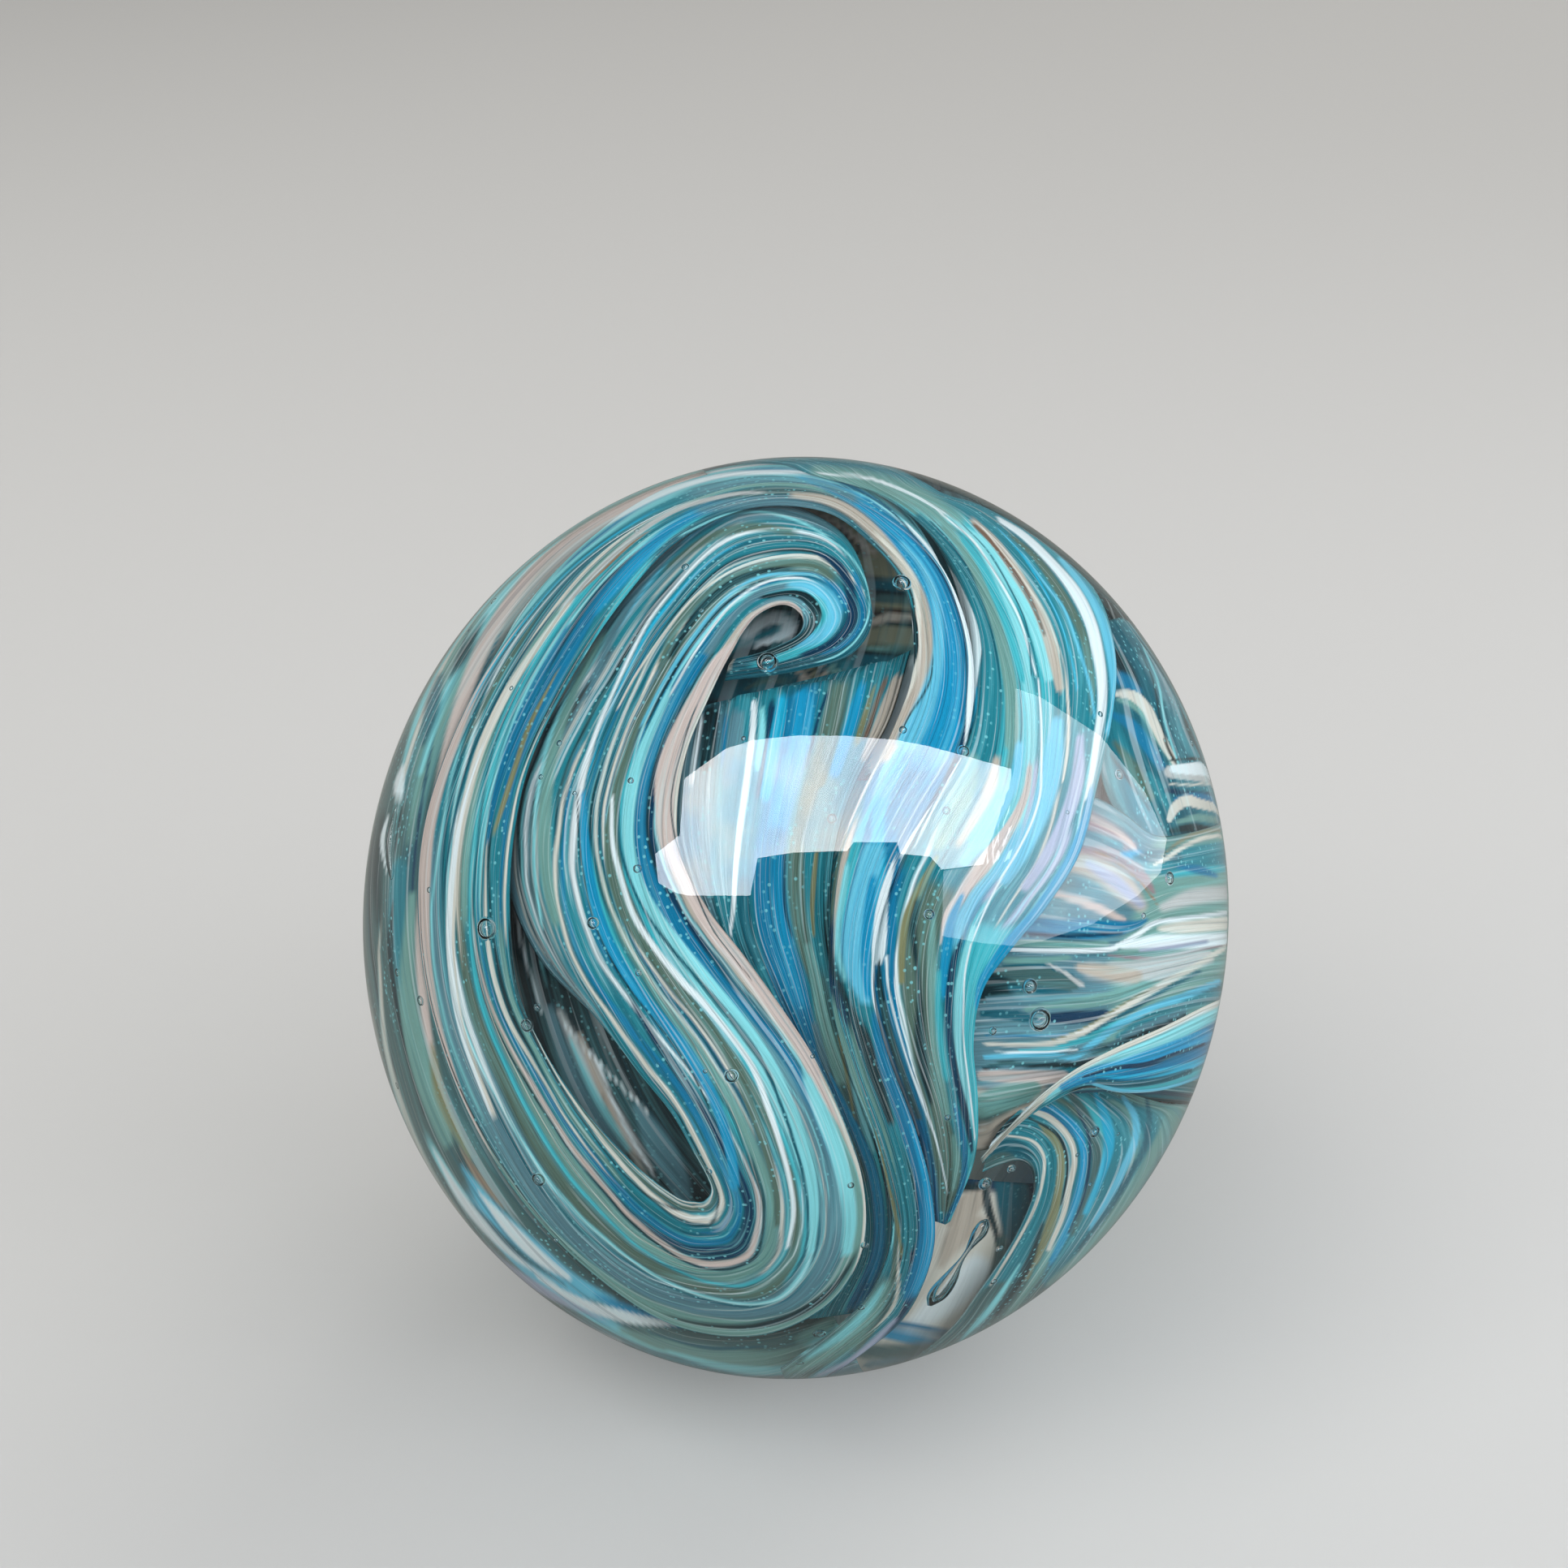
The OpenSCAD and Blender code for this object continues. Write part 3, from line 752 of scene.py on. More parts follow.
LONG_LAPS = (
    [(0, 0), (28, 0), (29, 1), (30, 2), (32, 2.2), (33, 1), (34, 0), (48, 0)],
    [(3, 0), (4, 0.6), (5, 1.8), (6, 2.4), (7, 2.6), (8, 2.6), (9, 2.4), (10, 2.2), (11, 1.6),
     (12, 0.4), (13, 0), (48, 0)],
)
LONG_STRANDS = """
pale~.03 28:-.14-0 31:-.14-0 34:-.14-0
blue~.02 29:-.04--.02 31:-.04--.02 33:-.04--.02
white~.02 28:-.09--.07 31:-.09--.06 33:-.09--.06
slate~.03 4:1-1.14 8:1-1.14 12:1-1.14
cream~.015 5:1.01-1.02 8:1-1.015 11:1-1.01
brown~.015 5.6:1.03-1.04 8:1.025-1.035 11.6:1.02-1.03
white~.012 6:1.05-1.06 8.6:1.045-1.055 12:1.04-1.046
dark~.015 6:1.06-1.075 9:1.06-1.08 12:1.05-1.07
cream~.012 6.6:1.085-1.095 9:1.085-1.092 11:1.08-1.085
deep~.10 0:0-1 3:0-1
turquoise~.2 4:.3-.44 8:.26-.4 12:.2-.34
slate~.2 13:.1-.5 16:.1-.5 20:.2-.6 24:.2-.6
turquoise~.06 .5:.26-.5 2:.2-.46 3:.25-.45 4:.28-.46
blue~.05 3:.44-.62 4:.47-.56 6:.36-.60 9:.40-.60 13:.36-.52 16:.34-.44
teal~.08 3:.72-1 5:.76-1 9:.84-1 12:.92-1
olive~.05 3.6:.56-.72 5:.52-.66 6:.52-.62 9:.46-.58 11:.41-.51 13:.37-.46 16:.35-.41 18:.29-.38
  20:.4-.49 22:.38-.49 24:.37-.48 26:.4-.46
sage~.05 10:.58-.65 13:.53-.6 16:.47-.55 18:.42-.51 20:.52-.63 22:.52-.64 24:.57-.63
sage~.05 13:.02-.12 16:0-.13 18:0-.14 20:0-.20 22:0-.08 24:0-.02
slate~.05 15:.13-.26 18:.13-.22 20:.19-.34 22:.11-.26 24:.1-.22 26:.15-.22
beige~.03 3.4:0-.03 4:0-.08 6:0-.16 9:0-.17 11:0-.125 13:0-.11 15:0-.06 16:0-.02
pink~.03 22.6:0-.03 24:0-.09 26:0-.14 27.4:.01-.09 28.4:.04-.05
pale 5:.15-.17 7:.168-.182 9:.172-.186 11:.125-.137 13:.112-.124 15:.09-.10
dark~.03 .6:0-.24 2:.06-.18 3:.13-.24 4:.2-.27 6:.19-.225 9:.19-.24 11:.14-.17 13:.125-.13
blue~.04 4:.13-.18 5:.22-.3 6:.235-.38 9:.25-.335 11:.19-.26 13:.13-.195 15:.12-.17 16:.13-.15
navy~.04 8:.2-.24 10:.16-.22 12:.13-.17 13.6:.12-.13
pale~.03 2.4:.27-.34 3:.27-.38 4:.32-.42 6:.395-.44 9:.34-.37 11:.265-.30 13:.225-.26 15:.24-.26
  16:.24-.25
deep 3.6:.482-.496 6:.46-.482 9:.382-.402 11:.305-.322 13:.268-.283 16:.273-.29 18:.213-.23
  20:.343-.366 22:.26-.3 24:.222-.24 26:.222-.25 27.2:.14-.16 28:.083-.098 29:.088-.10 30:.15-.168
  31:.19-.21
pale~.02 3.8:.505-.53 6:.493-.52 9:.418-.445 11:.33-.36 13:.292-.35 16:.30-.33 18:.235-.265
  20:.37-.395 22:.34-.375 24:.262-.29 26:.283-.31 27.2:.18-.2 28.4:.1-.11
turquoise~.02 8:.45-.47 9:.452-.474 11:.37-.405 13:.352-.377 16:.335-.357 17.6:.29-.3
turquoise~.03 14:.42-.44 16:.408-.432 18:.38-.402 20:.497-.522 22:.49-.53 24:.49-.55 26:.54-.65
  28:.39-.5 29:.44-.52 30:.34-.44
cream~.02 3.6:.70-.72 5:.66-.69 6:.64-.68 7.5:.61-.64 9:.588-.612 11:.518-.542 13:.46-.482
  16:.438-.462 17.6:.405-.415
deep 5:.69-.70 6:.685-.70 9:.62-.642 11:.55-.572 13:.49-.51 15:.465-.475
cream~.02 4.6:.74-.75 6:.735-.757 9:.648-.672 11:.588-.612 13:.52-.54 14.6:.49-.50
dark~.03 3.4:.74-.80 5:.76-.79 6:.78-.802 9:.69-.715 10.6:.64-.65
turquoise~.03 9.6:.68-.69 11:.655-.70 13:.635-.672 15:.57-.59
blue~.03 6:.81-.832 8:.75-.77 9:.728-.748 10:.71-.77 11:.71-.80 12:.70-.74 13:.687-.713
  14.4:.64-.65
deep 4:.84-.88 6:.845-.885 8:.78-.80 9:.755-.772 10:.76-.77
cyan~.02 5:.88-.9 6:.9-.932 7.4:.84-.86 8.6:.77-.78
white~.02 3.8:.9-.93 6:.95-.972 7.5:.87-.9 9:.778-.83 10:.805-.84 11:.818-.842 13:.722-.742
  14.6:.64-.655 16:.58-.597 17:.56-.57
dark 5.6:.975-1 9:.918-.935 10:.9-.91
blue 8:.93-.94 9:.86-.88 11:.905-.93 13:.82-.87 16:.76-.825 18:.745-.80 20:.735-.80 22:.735-.785
  24:.66-.69 25.4:.64-.65
navy~.03 12:.77-.79 13:.755-.805 16:.655-.745 18:.61-.74 20:.695-.725 21.4:.70-.71
pink~.03 15:.61-.62 16:.598-.628 18:.535-.60 20:.648-.692 22:.648-.692 24:.598-.625 25.2:.58-.59
dark 15:.56-.57 16:.556-.576 18:.506-.524 20:.63-.65 22:.632-.648 24:.562-.58 25.2:.55-.555
blue~.02 14:.87-.88 16:.825-.85 18:.805-.825 20:.752-.77 21.4:.76-.77
teal~.02 15:.83-.84 17:.79-.81 19:.78-.80 20.4:.79-.8
cream~.02 8:.9-.92 9:.888-.912 11:.94-.96 13:.895-.925 16:.88-.922 18:.86-.90 20:.88-.92
  22:.925-.97 23.4:.98-1
dark 12.8:.93-.94 16:.925-.94 18:.845-.858 19.6:.86-.87
dark 18:.962-.978 20:.865-.878 22:.89-.91 24:.94-1 25:.96-1
cream 15:.985-.995 16:.98-1 18:.945-.962 20:.962-.978 21.6:.98-.99
cream~.02 17.4:.975-.985 18:.978-1 20:.985-1
dark~.04 17:.04-.06 18:.05-.12 19:.08-.13 20:.1-.12
dark 21:.06-.065 22:.062-.078 24:.025-.04 25.4:.03-.035
pale~.03 23:.12-.14 25:.13-.15 26:.19-.21 27:.12-.14
white~.03 22.8:.31-.32 24:.305-.36 25:.315-.345 26:.325-.352 27:.215-.235 28:.115-.137
  29:.115-.135 30:.088-.12 31:.115-.14 32:.1-.11
cream~.02 24.6:.4-.41 26:.385-.425 27:.31-.34 28:.255-.293 29:.265-.32 30:.188-.24 31:.15-.16
sage~.04 25:.45-.52 26:.44-.53 27:.37-.44 28:.305-.365 29:.34-.42 30:.262-.3 31:.22-.33 32:.26-.42
deep~.04 25:.56-.6 26:.59-.62 27:.47-.5 28:.44-.46
pale~.03 25:.67-.68 26:.655-.692 27:.6-.64 28:.545-.60 29:.57-.595 30:.52-.62 31:.52-.56
  32:.48-.53
cream~.02 21:.77-.78 22.6:.76-.79 24:.715-.772 25.2:.73-.76 26:.72-.73
dark~.03 22.6:.8-.81 24:.785-.835 25:.79-.81 26:.735-.765 27:.7-.72 27.8:.66-.67
sage~.03 20.6:.81-.84 22:.815-.865 24:.845-.905 25.4:.86-.88
olive~.03 15:.95-.97 17:.93-.955 20:.92-.955 22:.97-1
blue~.03 25:.87-.89 26:.865-.9 27:.73-.88 28:.695-.885 29:.64-.76 30:.68-.7
cream~.02 24.8:.91-.93 26:.915-.95 27:.93-.95 27.6:.94-.95
navy~.03 26.8:.65-.67 28:.635-.685 29:.61-.64 30:.63-.65
dark~.03 27:.9-.92 28:.9-.94 29:.9-.92
olive~.03 27:.15-.18 28:.15-.21 29:.16-.22 30:.13-.15
deep~.03 28:.205-.24 29:.15-.24 30:.17-.185
cyan 27.4:.05-.07 28:.055-.075 29:.04-.06 30:.02-.04
turquoise~.05 28.4:.97-1 29.4:.82-1 30:.7-.82 30.8:.72-.8
deep~.08 29.6:.86-1 30:.84-1 31:.6-1 32:.6-1 33:.86-1
slate~.06 30.4:0-.08 31:0-.1 32:0-.16 32.8:.02-.1
grey~.06 30.6:.4-.6 31:.36-.6 32:.42-.6 32.8:.5-.6
cream~.04 31:.11-.15 32:.17-.26 33:.1-.12
blue~.05 32.2:.2-.5 33:.12-.46 34:.12-.46 35:.12-.56 36:.1-.66 37:.04-.92 38:.02-.9 39:.1-.6
  40:.06-.74 40.8:.2-.6
cyan~.05 32.6:.3-.4 33:.27-.44 34:.27-.46 35:.36-.56 36:.4-.62 37:.55-.9 38:.5-.76 39:.12-.3
  40:.08-.24 41:.1-.14
navy~.03 32.6:.08-.12 33:.09-.14 34:.095-.145 35:.10-.15 36:.085-.125 37:.02-.1 38:.0-.05
cream~.04 32.6:.54-.72 33.4:.53-.82 34.4:.54-.84 35:.65-.88 36:.84-1 37:.94-1 38:.93-1 39:.96-1
dark 32.8:.86-.9 34:.865-.905 35:.885-.935 36:.95-1
dark~.03 32.8:.95-1 35:.965-1 35.8:.99-1
white~.02 32.6:0-.03 34:0-.04 35:0-.08 36:0-.07 36.8:0-.02
turquoise~.04 36:.66-.77 37:.8-.88 38:.74-.8 39:.6-.79 40:.62-.68
white~.02 37.8:0-.03 38.4:.01-.07 39:.02-.085 40:0-.055 41:.01-.03
beige~.03 38.4:.84-.9 39:.8-.9 40:.79-.885 41:.86-.9
olive~.04 38.6:.92-1 39:.91-1 40:.9-1 41:.93-1
teal~.08 40.6:0-1 42:0-1 45:0-.1
navy~.05 39.9:.86-1 40.6:.78-1 41:.6-.92 41.4:.45-.65 41.9:.38-.45
dark~.05 41.4:.2-.4 42:.2-.45 43:.3-.45 44:.25-.4 45:.3-.34
sage~.04 41:.84-.96 42:.8-1 43:.9-.94
sage~.03 41.4:.5-.62 42:.52-.66 43:.54-.66 44:.56-.66
pale 41:.68-.7 42:.69-.715 43:.7-.715
dark 41:.73-.74 42:.735-.755 43:.78-.81 44:.78-.82 45:.6-.66 46:.58-.62
pale 42:.95-.96 43:.925-.95 44:.91-.93 45:.9-.96
navy~.04 43:.14-.18 44:.17-.27 45:.12-.42 46:0-.17 47:0-.11 48:0-.1
olive~.03 44:.84-.9 45:.78-.88 46:.42-.62 47:.11-.3
cream~.03 44.6:.74-.76 45:.735-.77 46:.32-.41 46.8:.34-.38
grey~.05 45.6:.62-1 46:.44-1 47:.3-1 48:.3-1
"""


LONG_STROKES = """
sage~.8 -13,-26.6,.8 -9,-28.6,1 -5,-29.2,1.2 -1,-29 3,-27.6,.8
pale~.3 -11,-28.4,.3 -7,-29.8,.5 -2.6,-30.2 1,-29.6,.3
sage~.6 -.6,-31,.6 1.6,-30.2,1 3.6,-28.8,1.4 5.2,-27,1.2 6.4,-25,.6
pale~.4 1,-30,.3 3.4,-28.4,.6 5,-26.8,.5 6.2,-25,.2
lilac~.3 1.4,-31.4,.2 3.6,-30.4,.3 5.4,-29,.4 7,-27.4,.2
white~.2 -15,26.8,.3 -13,28,.5 -10,29.6,.45 -7,30.7,.35 -4,31.3,.3 0,31.4,.25 2,31.2,.1
mist~.12 -16,22.2,.3 -14,24.3,.35 -12,26.2 -10,27.8 -8,28.9 -6,29.5,.3 -4,29.9,.25 -2,30,.15
amber~.15 -15,23,.08 -13,24.9,.15 -11.5,26.3 -10.3,27.2,.08
cream~.15 -15.4,22.6,.2 -17.4,20,.4 -19.8,16.4,.55 -21.7,12.5,.6 -22.8,8.6 -23.5,5 -23.9,0
  -23.7,-4,.5 -22.9,-8,.4 -21,-13,.3
white~.1 -21.7,12.5,.1 -22.9,8.6,.2 -23.6,5,.35 -24,0,.4 -23.8,-4 -23,-8,.3 -21.2,-13,.15
gold~.15 -16.6,17.4,.1 -18.4,13.9,.3 -19.4,11,.35 -20.2,8.5 -20.9,6.4,.2
blue~.2 -15.6,21,.2 -17.8,17,.6 -19.6,13 -20.8,9,.4 -21.3,6,.2
deep~.1 -16.4,22.2,.06 -18.6,19.2,.15 -20.6,15.8,.2 -22.4,12 -23.5,8 -24.2,4,.15 -24.5,0,.1
azure~.4 -13.6,22,.4 -12,24,.8 -10,26.2 -8.4,27.6,.7 -6,28.9,.6 -3,29.4,.3
slate~.6 -6.6,28.8,.5 -4,29.2,.7 -1,29.2,.9 1.4,28.8,.8 3.4,27.8,.5
teal~.3 -12.6,19.4,.6 -11,22,1 -9.2,24.6 -7,26.8,.9 -5,28,.7
sky~.15 -12.2,20.6,.1 -10.6,23,.25 -8.8,25.4 -6.6,27.4,.2 -4.4,28.4,.15
slate~.2 -14.6,15,.2 -13.6,18,.5 -12.2,21 -10.4,23.8,.4 -8,26.3,.3
pale~.12 -8,27,.1 -5,28.35,.18 -2.5,28.65 0,28.1 2,27.1,.14
olive~.3 -8.6,25,.3 -6,26.8,.6 -3,27.6 0,27.2,.5
beige~.3 0,29.8,.4 2,29.5,.6 4,28.6,.8 6,26.9,1 7.4,25.4,1.1 8.4,24 8.9,22.6 9,21 9.1,19.6 9,18.2
  8.6,16.8,1.2 7.9,15.4,1.4 7,13.6,1.6 6,12
cream~.2 5.8,27,.2 7.2,25.4,.4 8.2,24,.5 8.5,22.6,.4 8.6,20.6,.3 8.6,18.8 8.2,17,.4 7.4,15.4,.5
azure~.3 .6,31,.2 3,30.1,.7 5,29,1 6.6,27.6,1.2 8,26,1.4 9.2,24.4,1.6 10.1,22.6,1.8 10.6,20.6,2.1
  10.8,18.6,2.3 10.8,16.6,2.6 10.2,14.6,3.2 9.2,12.6,3.8
slate~.5 1,30.9,.2 2.6,30.3,.5 4.2,29.5,.6
sky~.4 7.4,26.5,.3 8.7,25,.4 9.5,23.4,.5 9.9,21.6,.6 10,19.6,.7 9.8,17.8,.9 9.3,16,1.2
  8.7,14.4,1.5 7.9,12.8,1.6
blue~.2 5,29.5,.2 7,28,.3 8.8,26.2,.4 10.2,24,.5 11,22,.6 11.5,20 11.7,18,.5 11.7,16,.4 11.5,14
navy~.1 3,30.5,.08 5,29.8,.1 7,28.4,.12 9,26 10.2,24.3 11.1,22.4,.15 11.7,20.4 11.9,18.4
  11.95,16.4,.12 11.8,14
dark~.1 3.4,27.7,.2 5,26.2,.25 6.2,24.9,.3 6.7,24.2 6.7,23.4,.2 7.1,22.7,.25 7.9,22.1,.3
  8.3,21,.35 8.4,19.8 8.35,18.8 8,17.7,.25 7.7,17.3,.1
white~.06 7.8,22,.08 8.1,21,.1 8.15,19.8 8.05,18.8 7.8,17.7,.08
dark~.1 9.6,18.6,.06 9.4,17,.12 8.8,15.8,.14 8,14.6,.12 7.2,13,.08
olive~.25 -9.4,18,.4 -8,21,.6 -6,23 -4,24.2 -2,24.9 0,25.1 1.6,24.7,.5 2.6,24,.3
cream~.08 -12.2,15.2,.12 -11,17.4,.16 -9,20.3,.18 -7,22.7 -5,24.2 -3,25.1 -1,25.55 1,25.6 3,25,.16
  4.8,23,.12
dark~.2 -8.6,18.6,.3 -7,21.4,.6 -5.6,22.8 -4,23.9,.55 -2,24.5,.5 0,24.7,.3
sky~.12 -10.6,14,.15 -9,17,.2 -7,20,.22 -5,22.5 -3,23.9 -1,24.35 1,24.3,.15
dark~.1 -10.3,14,.1 -8.7,17,.15 -6.7,20,.16 -4.7,22.3 -2.8,23.65 -.8,24.1,.14
white~.1 -9.8,14,.1 -8.4,16.4,.16 -7,18.8 -5.6,20.8 -4.4,22.2 -3,23.3 -1.6,23.9 0,24.05 1,23.9,.14
  2,23.4,.1
sky~.5 -.4,23.6,.4 1.2,23.4,.9 2.3,22.6,1.1 2.7,21.5 2.2,20.5,1 1.2,19.8,.8 0,19.4,.4
turquoise~.3 .6,23,.2 1.8,22.4,.4 2,21.4 1.4,20.4,.3
navy~.2 1.4,25.9,.2 2.9,25,.6 3.7,23.6,.7 4,22 3.8,20.8 3,19.8,.6 2,19.2,.5 .6,18.7,.4
blue~.25 4.2,24.2,.3 4.6,22.8,.4 4.7,21.4 4.2,20.2 3.2,19.3,.3 2,18.8,.2
pale~.08 1.6,27.2,.08 3.4,26,.12 4.4,24.8 5.1,23.2 5.1,21.4 4.3,19.8 3,18.7 1.6,18.2,.08
slate~.2 -7.4,17,.3 -6,19,.55 -5,20.6,.6 -4,21.6 -3,22.6,.55 -2,23.2,.5 -.6,23.5,.4
teal~.2 -5.4,19,.3 -4,21,.4 -3,22 -2,22.6 -1,22.9,.3 0,23,.2
dark~.12 -2.4,22.7,.2 -.6,22.9,.5 .6,22.8,.6 1.3,22.2,.65 1.5,21.4,.7 1.2,20.7,.6 .6,20,.5
  -.4,19.3,.4 -1.2,18.9,.2
slate~.15 -3,21.8,.2 -1.6,22.5,.3 -.4,22.6,.4 .5,22.2 .8,21.4 .4,20.6 -.4,19.9,.3 -1.4,19.4,.2
pink~.12 -3.8,20.2,.2 -2.8,21.5,.25 -1.6,22.2,.3 -.5,22.3 .2,21.9 .4,21.2,.35 .1,20.6 -.7,20
  -1.7,19.5 -2.8,19,.2
pink~.2 -4.2,19.4,.6 -5.3,18,1.2 -6.5,16,1.3 -7.5,14,1.5 -8.4,12,1.6 -8.9,10.4 -9,8.4,1.4
  -8.7,5.6,1.3 -7.4,3,1.2 -5.8,0,1.4 -4.2,-2,1.3 -2.6,-4,1.1 -1.2,-6,1 .2,-8,.9 1.2,-10 2.1,-12,.6
  3.3,-14,.3
cream~.12 -3.4,20,.2 -4.5,18.2,.3 -5.9,16 -6.8,14 -7.6,12 -8.1,10 -8.3,7.6,.25 -7.8,5,.2
dark~.06 -6.9,15,.06 -7.3,14,.1 -7.9,12 -8.4,10 -8.6,8 -8.2,5.6 -7.2,3 -5.9,0 -4.5,-2,.08
  -3.2,-3.6,.06
pale~.3 .8,-10.6,.6 1.8,-13,1 2.8,-15.4,1.1 3.5,-18 3.8,-20.4,1 3.6,-22.6,.8
cream~.1 1.9,-11,.15 2.9,-13,.25 3.7,-15 4.4,-17 4.8,-19,.2 4.8,-21 4.5,-23 3.8,-25,.15
blue~.2 -6.4,18.6,.6 -8.2,15.6,.9 -9.7,12.2 -10.5,9 -10.7,6,1 -10,3,1.1 -8.6,.6 -7.1,-1.6,1
  -5.4,-3.8,.8 -3.8,-5.8,.5
dark~.3 -7.4,16.4,.1 -9.2,12.6,.25 -10.1,9 -10.2,6 -9.4,3,.2
pale~.15 -8.8,16,.4 -10.5,12.2,.7 -11.4,9,.8 -11.6,6 -11,3.2 -9.9,1 -8.3,-1.2 -6.5,-3.4 -4.5,-5.8
  -2.4,-8.6 -1,-11.2 .2,-14.2 1,-17.2 1.3,-20,.7 1.1,-22.6,.5
deep~.08 -12.2,9,.1 -12.2,6,.2 -11.8,4 -10.7,1.4 -9.1,-1,.22 -7.1,-3.4 -5.1,-5.6 -3.1,-8.1
  -1.9,-10.2 -1.1,-12.2 -.3,-14.4 .5,-17.2 .9,-20,.2 .7,-22.6 -.2,-24.4,.15
white~.15 -12.7,9,.2 -12.7,6,.3 -12.3,4,.35 -11.2,.6,.4 -9.6,-1.8 -7.8,-4,.45 -6.2,-5.6
  -4.4,-7.8,.4 -2.9,-10 -1.9,-12.6 -1.1,-15,.35 -.4,-17.6,.3 -.1,-20 -.5,-22.4,.2
olive~.2 -13.1,7,.3 -12.9,4,.5 -12,1,.6 -10.7,-1.2 -8.9,-3.6 -7.1,-5.8 -5.3,-8.2 -4,-10.4 -3,-12.8
  -2,-15.6 -1.3,-18.4,.5 -1.2,-20.8,.4
azure~.2 -14.7,9,.3 -14.6,6,.6 -14.2,3,.7 -13.6,.6 -12.6,-1.8 -11,-4.4 -9.4,-6.4 -7.9,-8.2
  -6.6,-10.2 -5.6,-12.2 -4.9,-14.2 -4.4,-16.2 -4.2,-18
dark~.06 -15.1,9,.08 -15,6,.12 -14.6,3 -14,.4 -12.9,-2.2 -11.4,-4.6 -9.8,-6.6 -8.3,-8.6 -7,-10.6
  -6,-12.6,.1
sage~.3 -13.4,20,.3 -15,17,.6 -16.4,13.6,.8 -17.2,10,.9 -17.4,6 -17.2,3,.8 -16.6,0,.6
pale~.12 -14.4,19,.1 -16,15.6,.2 -17.3,12,.25 -18,8 -18.1,4,.2 -17.6,0,.15
sky~.4 5.4,5,1.6 4.8,2.6,1.8 4.4,.4,2 4.2,-1.6 4.4,-3.4,1.6 4.9,-5,1
azure~.3 5.4,3,.6 5.1,.6,.7 4.9,-1.6 4.9,-3.4,.6 5.1,-5,.5
pale~.3 3.6,4,.3 3.3,2,.4 3,0 3,-2 3.4,-3.6,.3
blue~.3 5.6,-6.4,.6 5.9,-8,.9 6.2,-9.6 6.8,-11.4 7.6,-13.4,1.1 8.3,-15.4,1.2 8.9,-17.4 9.2,-19.4
  9.2,-21.4 8.8,-23.4 8,-25.4
azure~.25 8.2,-14,.5 8.9,-16.4,.7 9.3,-18.4,.8 9.4,-20.4 9.3,-22 8.9,-24,.7 8.2,-25.6,.4
teal~.3 6.8,-14,.6 7.2,-16,.8 7.6,-18,1 7.9,-20,1.1 7.9,-22
"""

# Strands along the edges where the long ribbon, the veil and the curtain meet, laid on all three.
# The first row, in dark, is a painted shadow along the left edge of the long ribbon's right arm.
EDGE_STROKES = """
dark~.4 2.6,3.4,.2 2.3,1.4,.3 2.2,-.6,.4 2.5,-2.6 3.1,-4.2,.5 3.9,-6 4.7,-8,.7 5.3,-10,.6 6,-12,.2
white~.1 7.8,27.8,.1 9.2,26.3,.2 10.3,25,.35 11,23.8,.6 11.6,22.4,.8 12.1,21,.95 12.4,19.6
  12.5,18.4,.9 12.4,17,.75 12.2,15.6,.5 12,14,.25 11.8,12.6,.1
deep~.12 13,19,.1 12.85,17.6,.2 12.7,16,.35 12.5,14.6 12.1,13.2,.2
cyan~.08 12.6,16.4,.1 12.5,15,.15 12.2,13.6,.1
white~.08 11.7,11.8,.06 11,10.6,.12 10,8.8,.14 9,6.8,.12 8.2,5.2,.06
white~.1 6.9,4.6,.1 6.5,3.4,.35 6.2,2.2,.6 6,.8,.85 5.9,-.6,.95 5.8,-1.8 5.75,-2.6,.6
blue~.12 7.2,4.4,.3 6.85,2.6,.4 6.8,0,.5 6.7,-2,.45 6.75,-4,.35 7,-6,.3 7.6,-8.4,.2 8.2,-10.4,.12
dark~.1 5.85,-2.4,.1 5.85,-3.6,.35 6,-5,.45 6.3,-6.6,.5 6.8,-8.4 7.4,-10.2,.4
grey~.2 6.2,-5.4,.2 6.6,-7.4,.35 7.2,-9.4,.4 7.9,-11.6 8.6,-13.4
white~.08 5.5,-2.2,.2 5.4,-3.6 5.45,-5,.18 5.75,-6.4,.15 6.4,-8.6,.12 7.2,-10.8,.1 8,-12.8
  8.6,-14.6,.08
white~.08 6.35,-2.2,.2 6.4,-3.6,.15 6.6,-5,.12 7.2,-7.4 8,-10 9,-12.8 9.8,-15 10.4,-17.6,.1
  10.6,-18.6,.05
white~.06 7.05,-2,.06 6.95,-4,.1 7.2,-6 7.8,-8.4 8.4,-10.6 9.2,-13,.08 9.7,-14.6,.05
gold~.1 5.6,-14.4,.1 6.1,-16.4,.15 6.6,-18.6,.2 7.1,-20.8,.25 7.4,-23,.2
dark~.08 5.4,-14.4,.06 5.9,-16.4,.1 6.4,-18.6 6.9,-20.8
"""


# ---- The veil, the curtain and the bands by the rims ----

VEIL_LINES = guides("""
-4,34.5 1,31.4 5.2,30.1 8.6,27.9 11.3,24.6 12.9,20.4 13,16.2 12.3,12 9.8,7.6 7.8,3.6 6.7,-.6
  6.6,-4.6 7.6,-8.6 9,-12.6 9.8,-16.4 10,-20.7
.5,34.5 4.5,31 8,28.9 11.4,25.6 14,21.4 15.4,17.2 15.8,13 15.2,8.6 13.4,5 11.6,2.2 10.4,-.8
  9.9,-4.4 9.9,-8.4 10.6,-12.6 11,-16.4 10.3,-20.8
3.5,34.5 6.5,30.9 10.6,28.6 14,24.9 16.4,20.9 17.4,17 17.4,13 16.8,8.8 15.3,4.4 13.4,1.6 12.3,-1
  11.7,-4.4 11.5,-8.4 11.8,-12.2 11.8,-16.4 10.5,-20.8
7,34.5 9.5,30.4 14,28.8 18.4,25.9 21.2,22.6 22.3,18.4 22,14.2 21,9.6 19.8,5 17.6,1.4 15.2,-1.5
  13.1,-4.5 12.4,-8.2 12.7,-12.2 12.5,-16.2 10.8,-20.6
""")
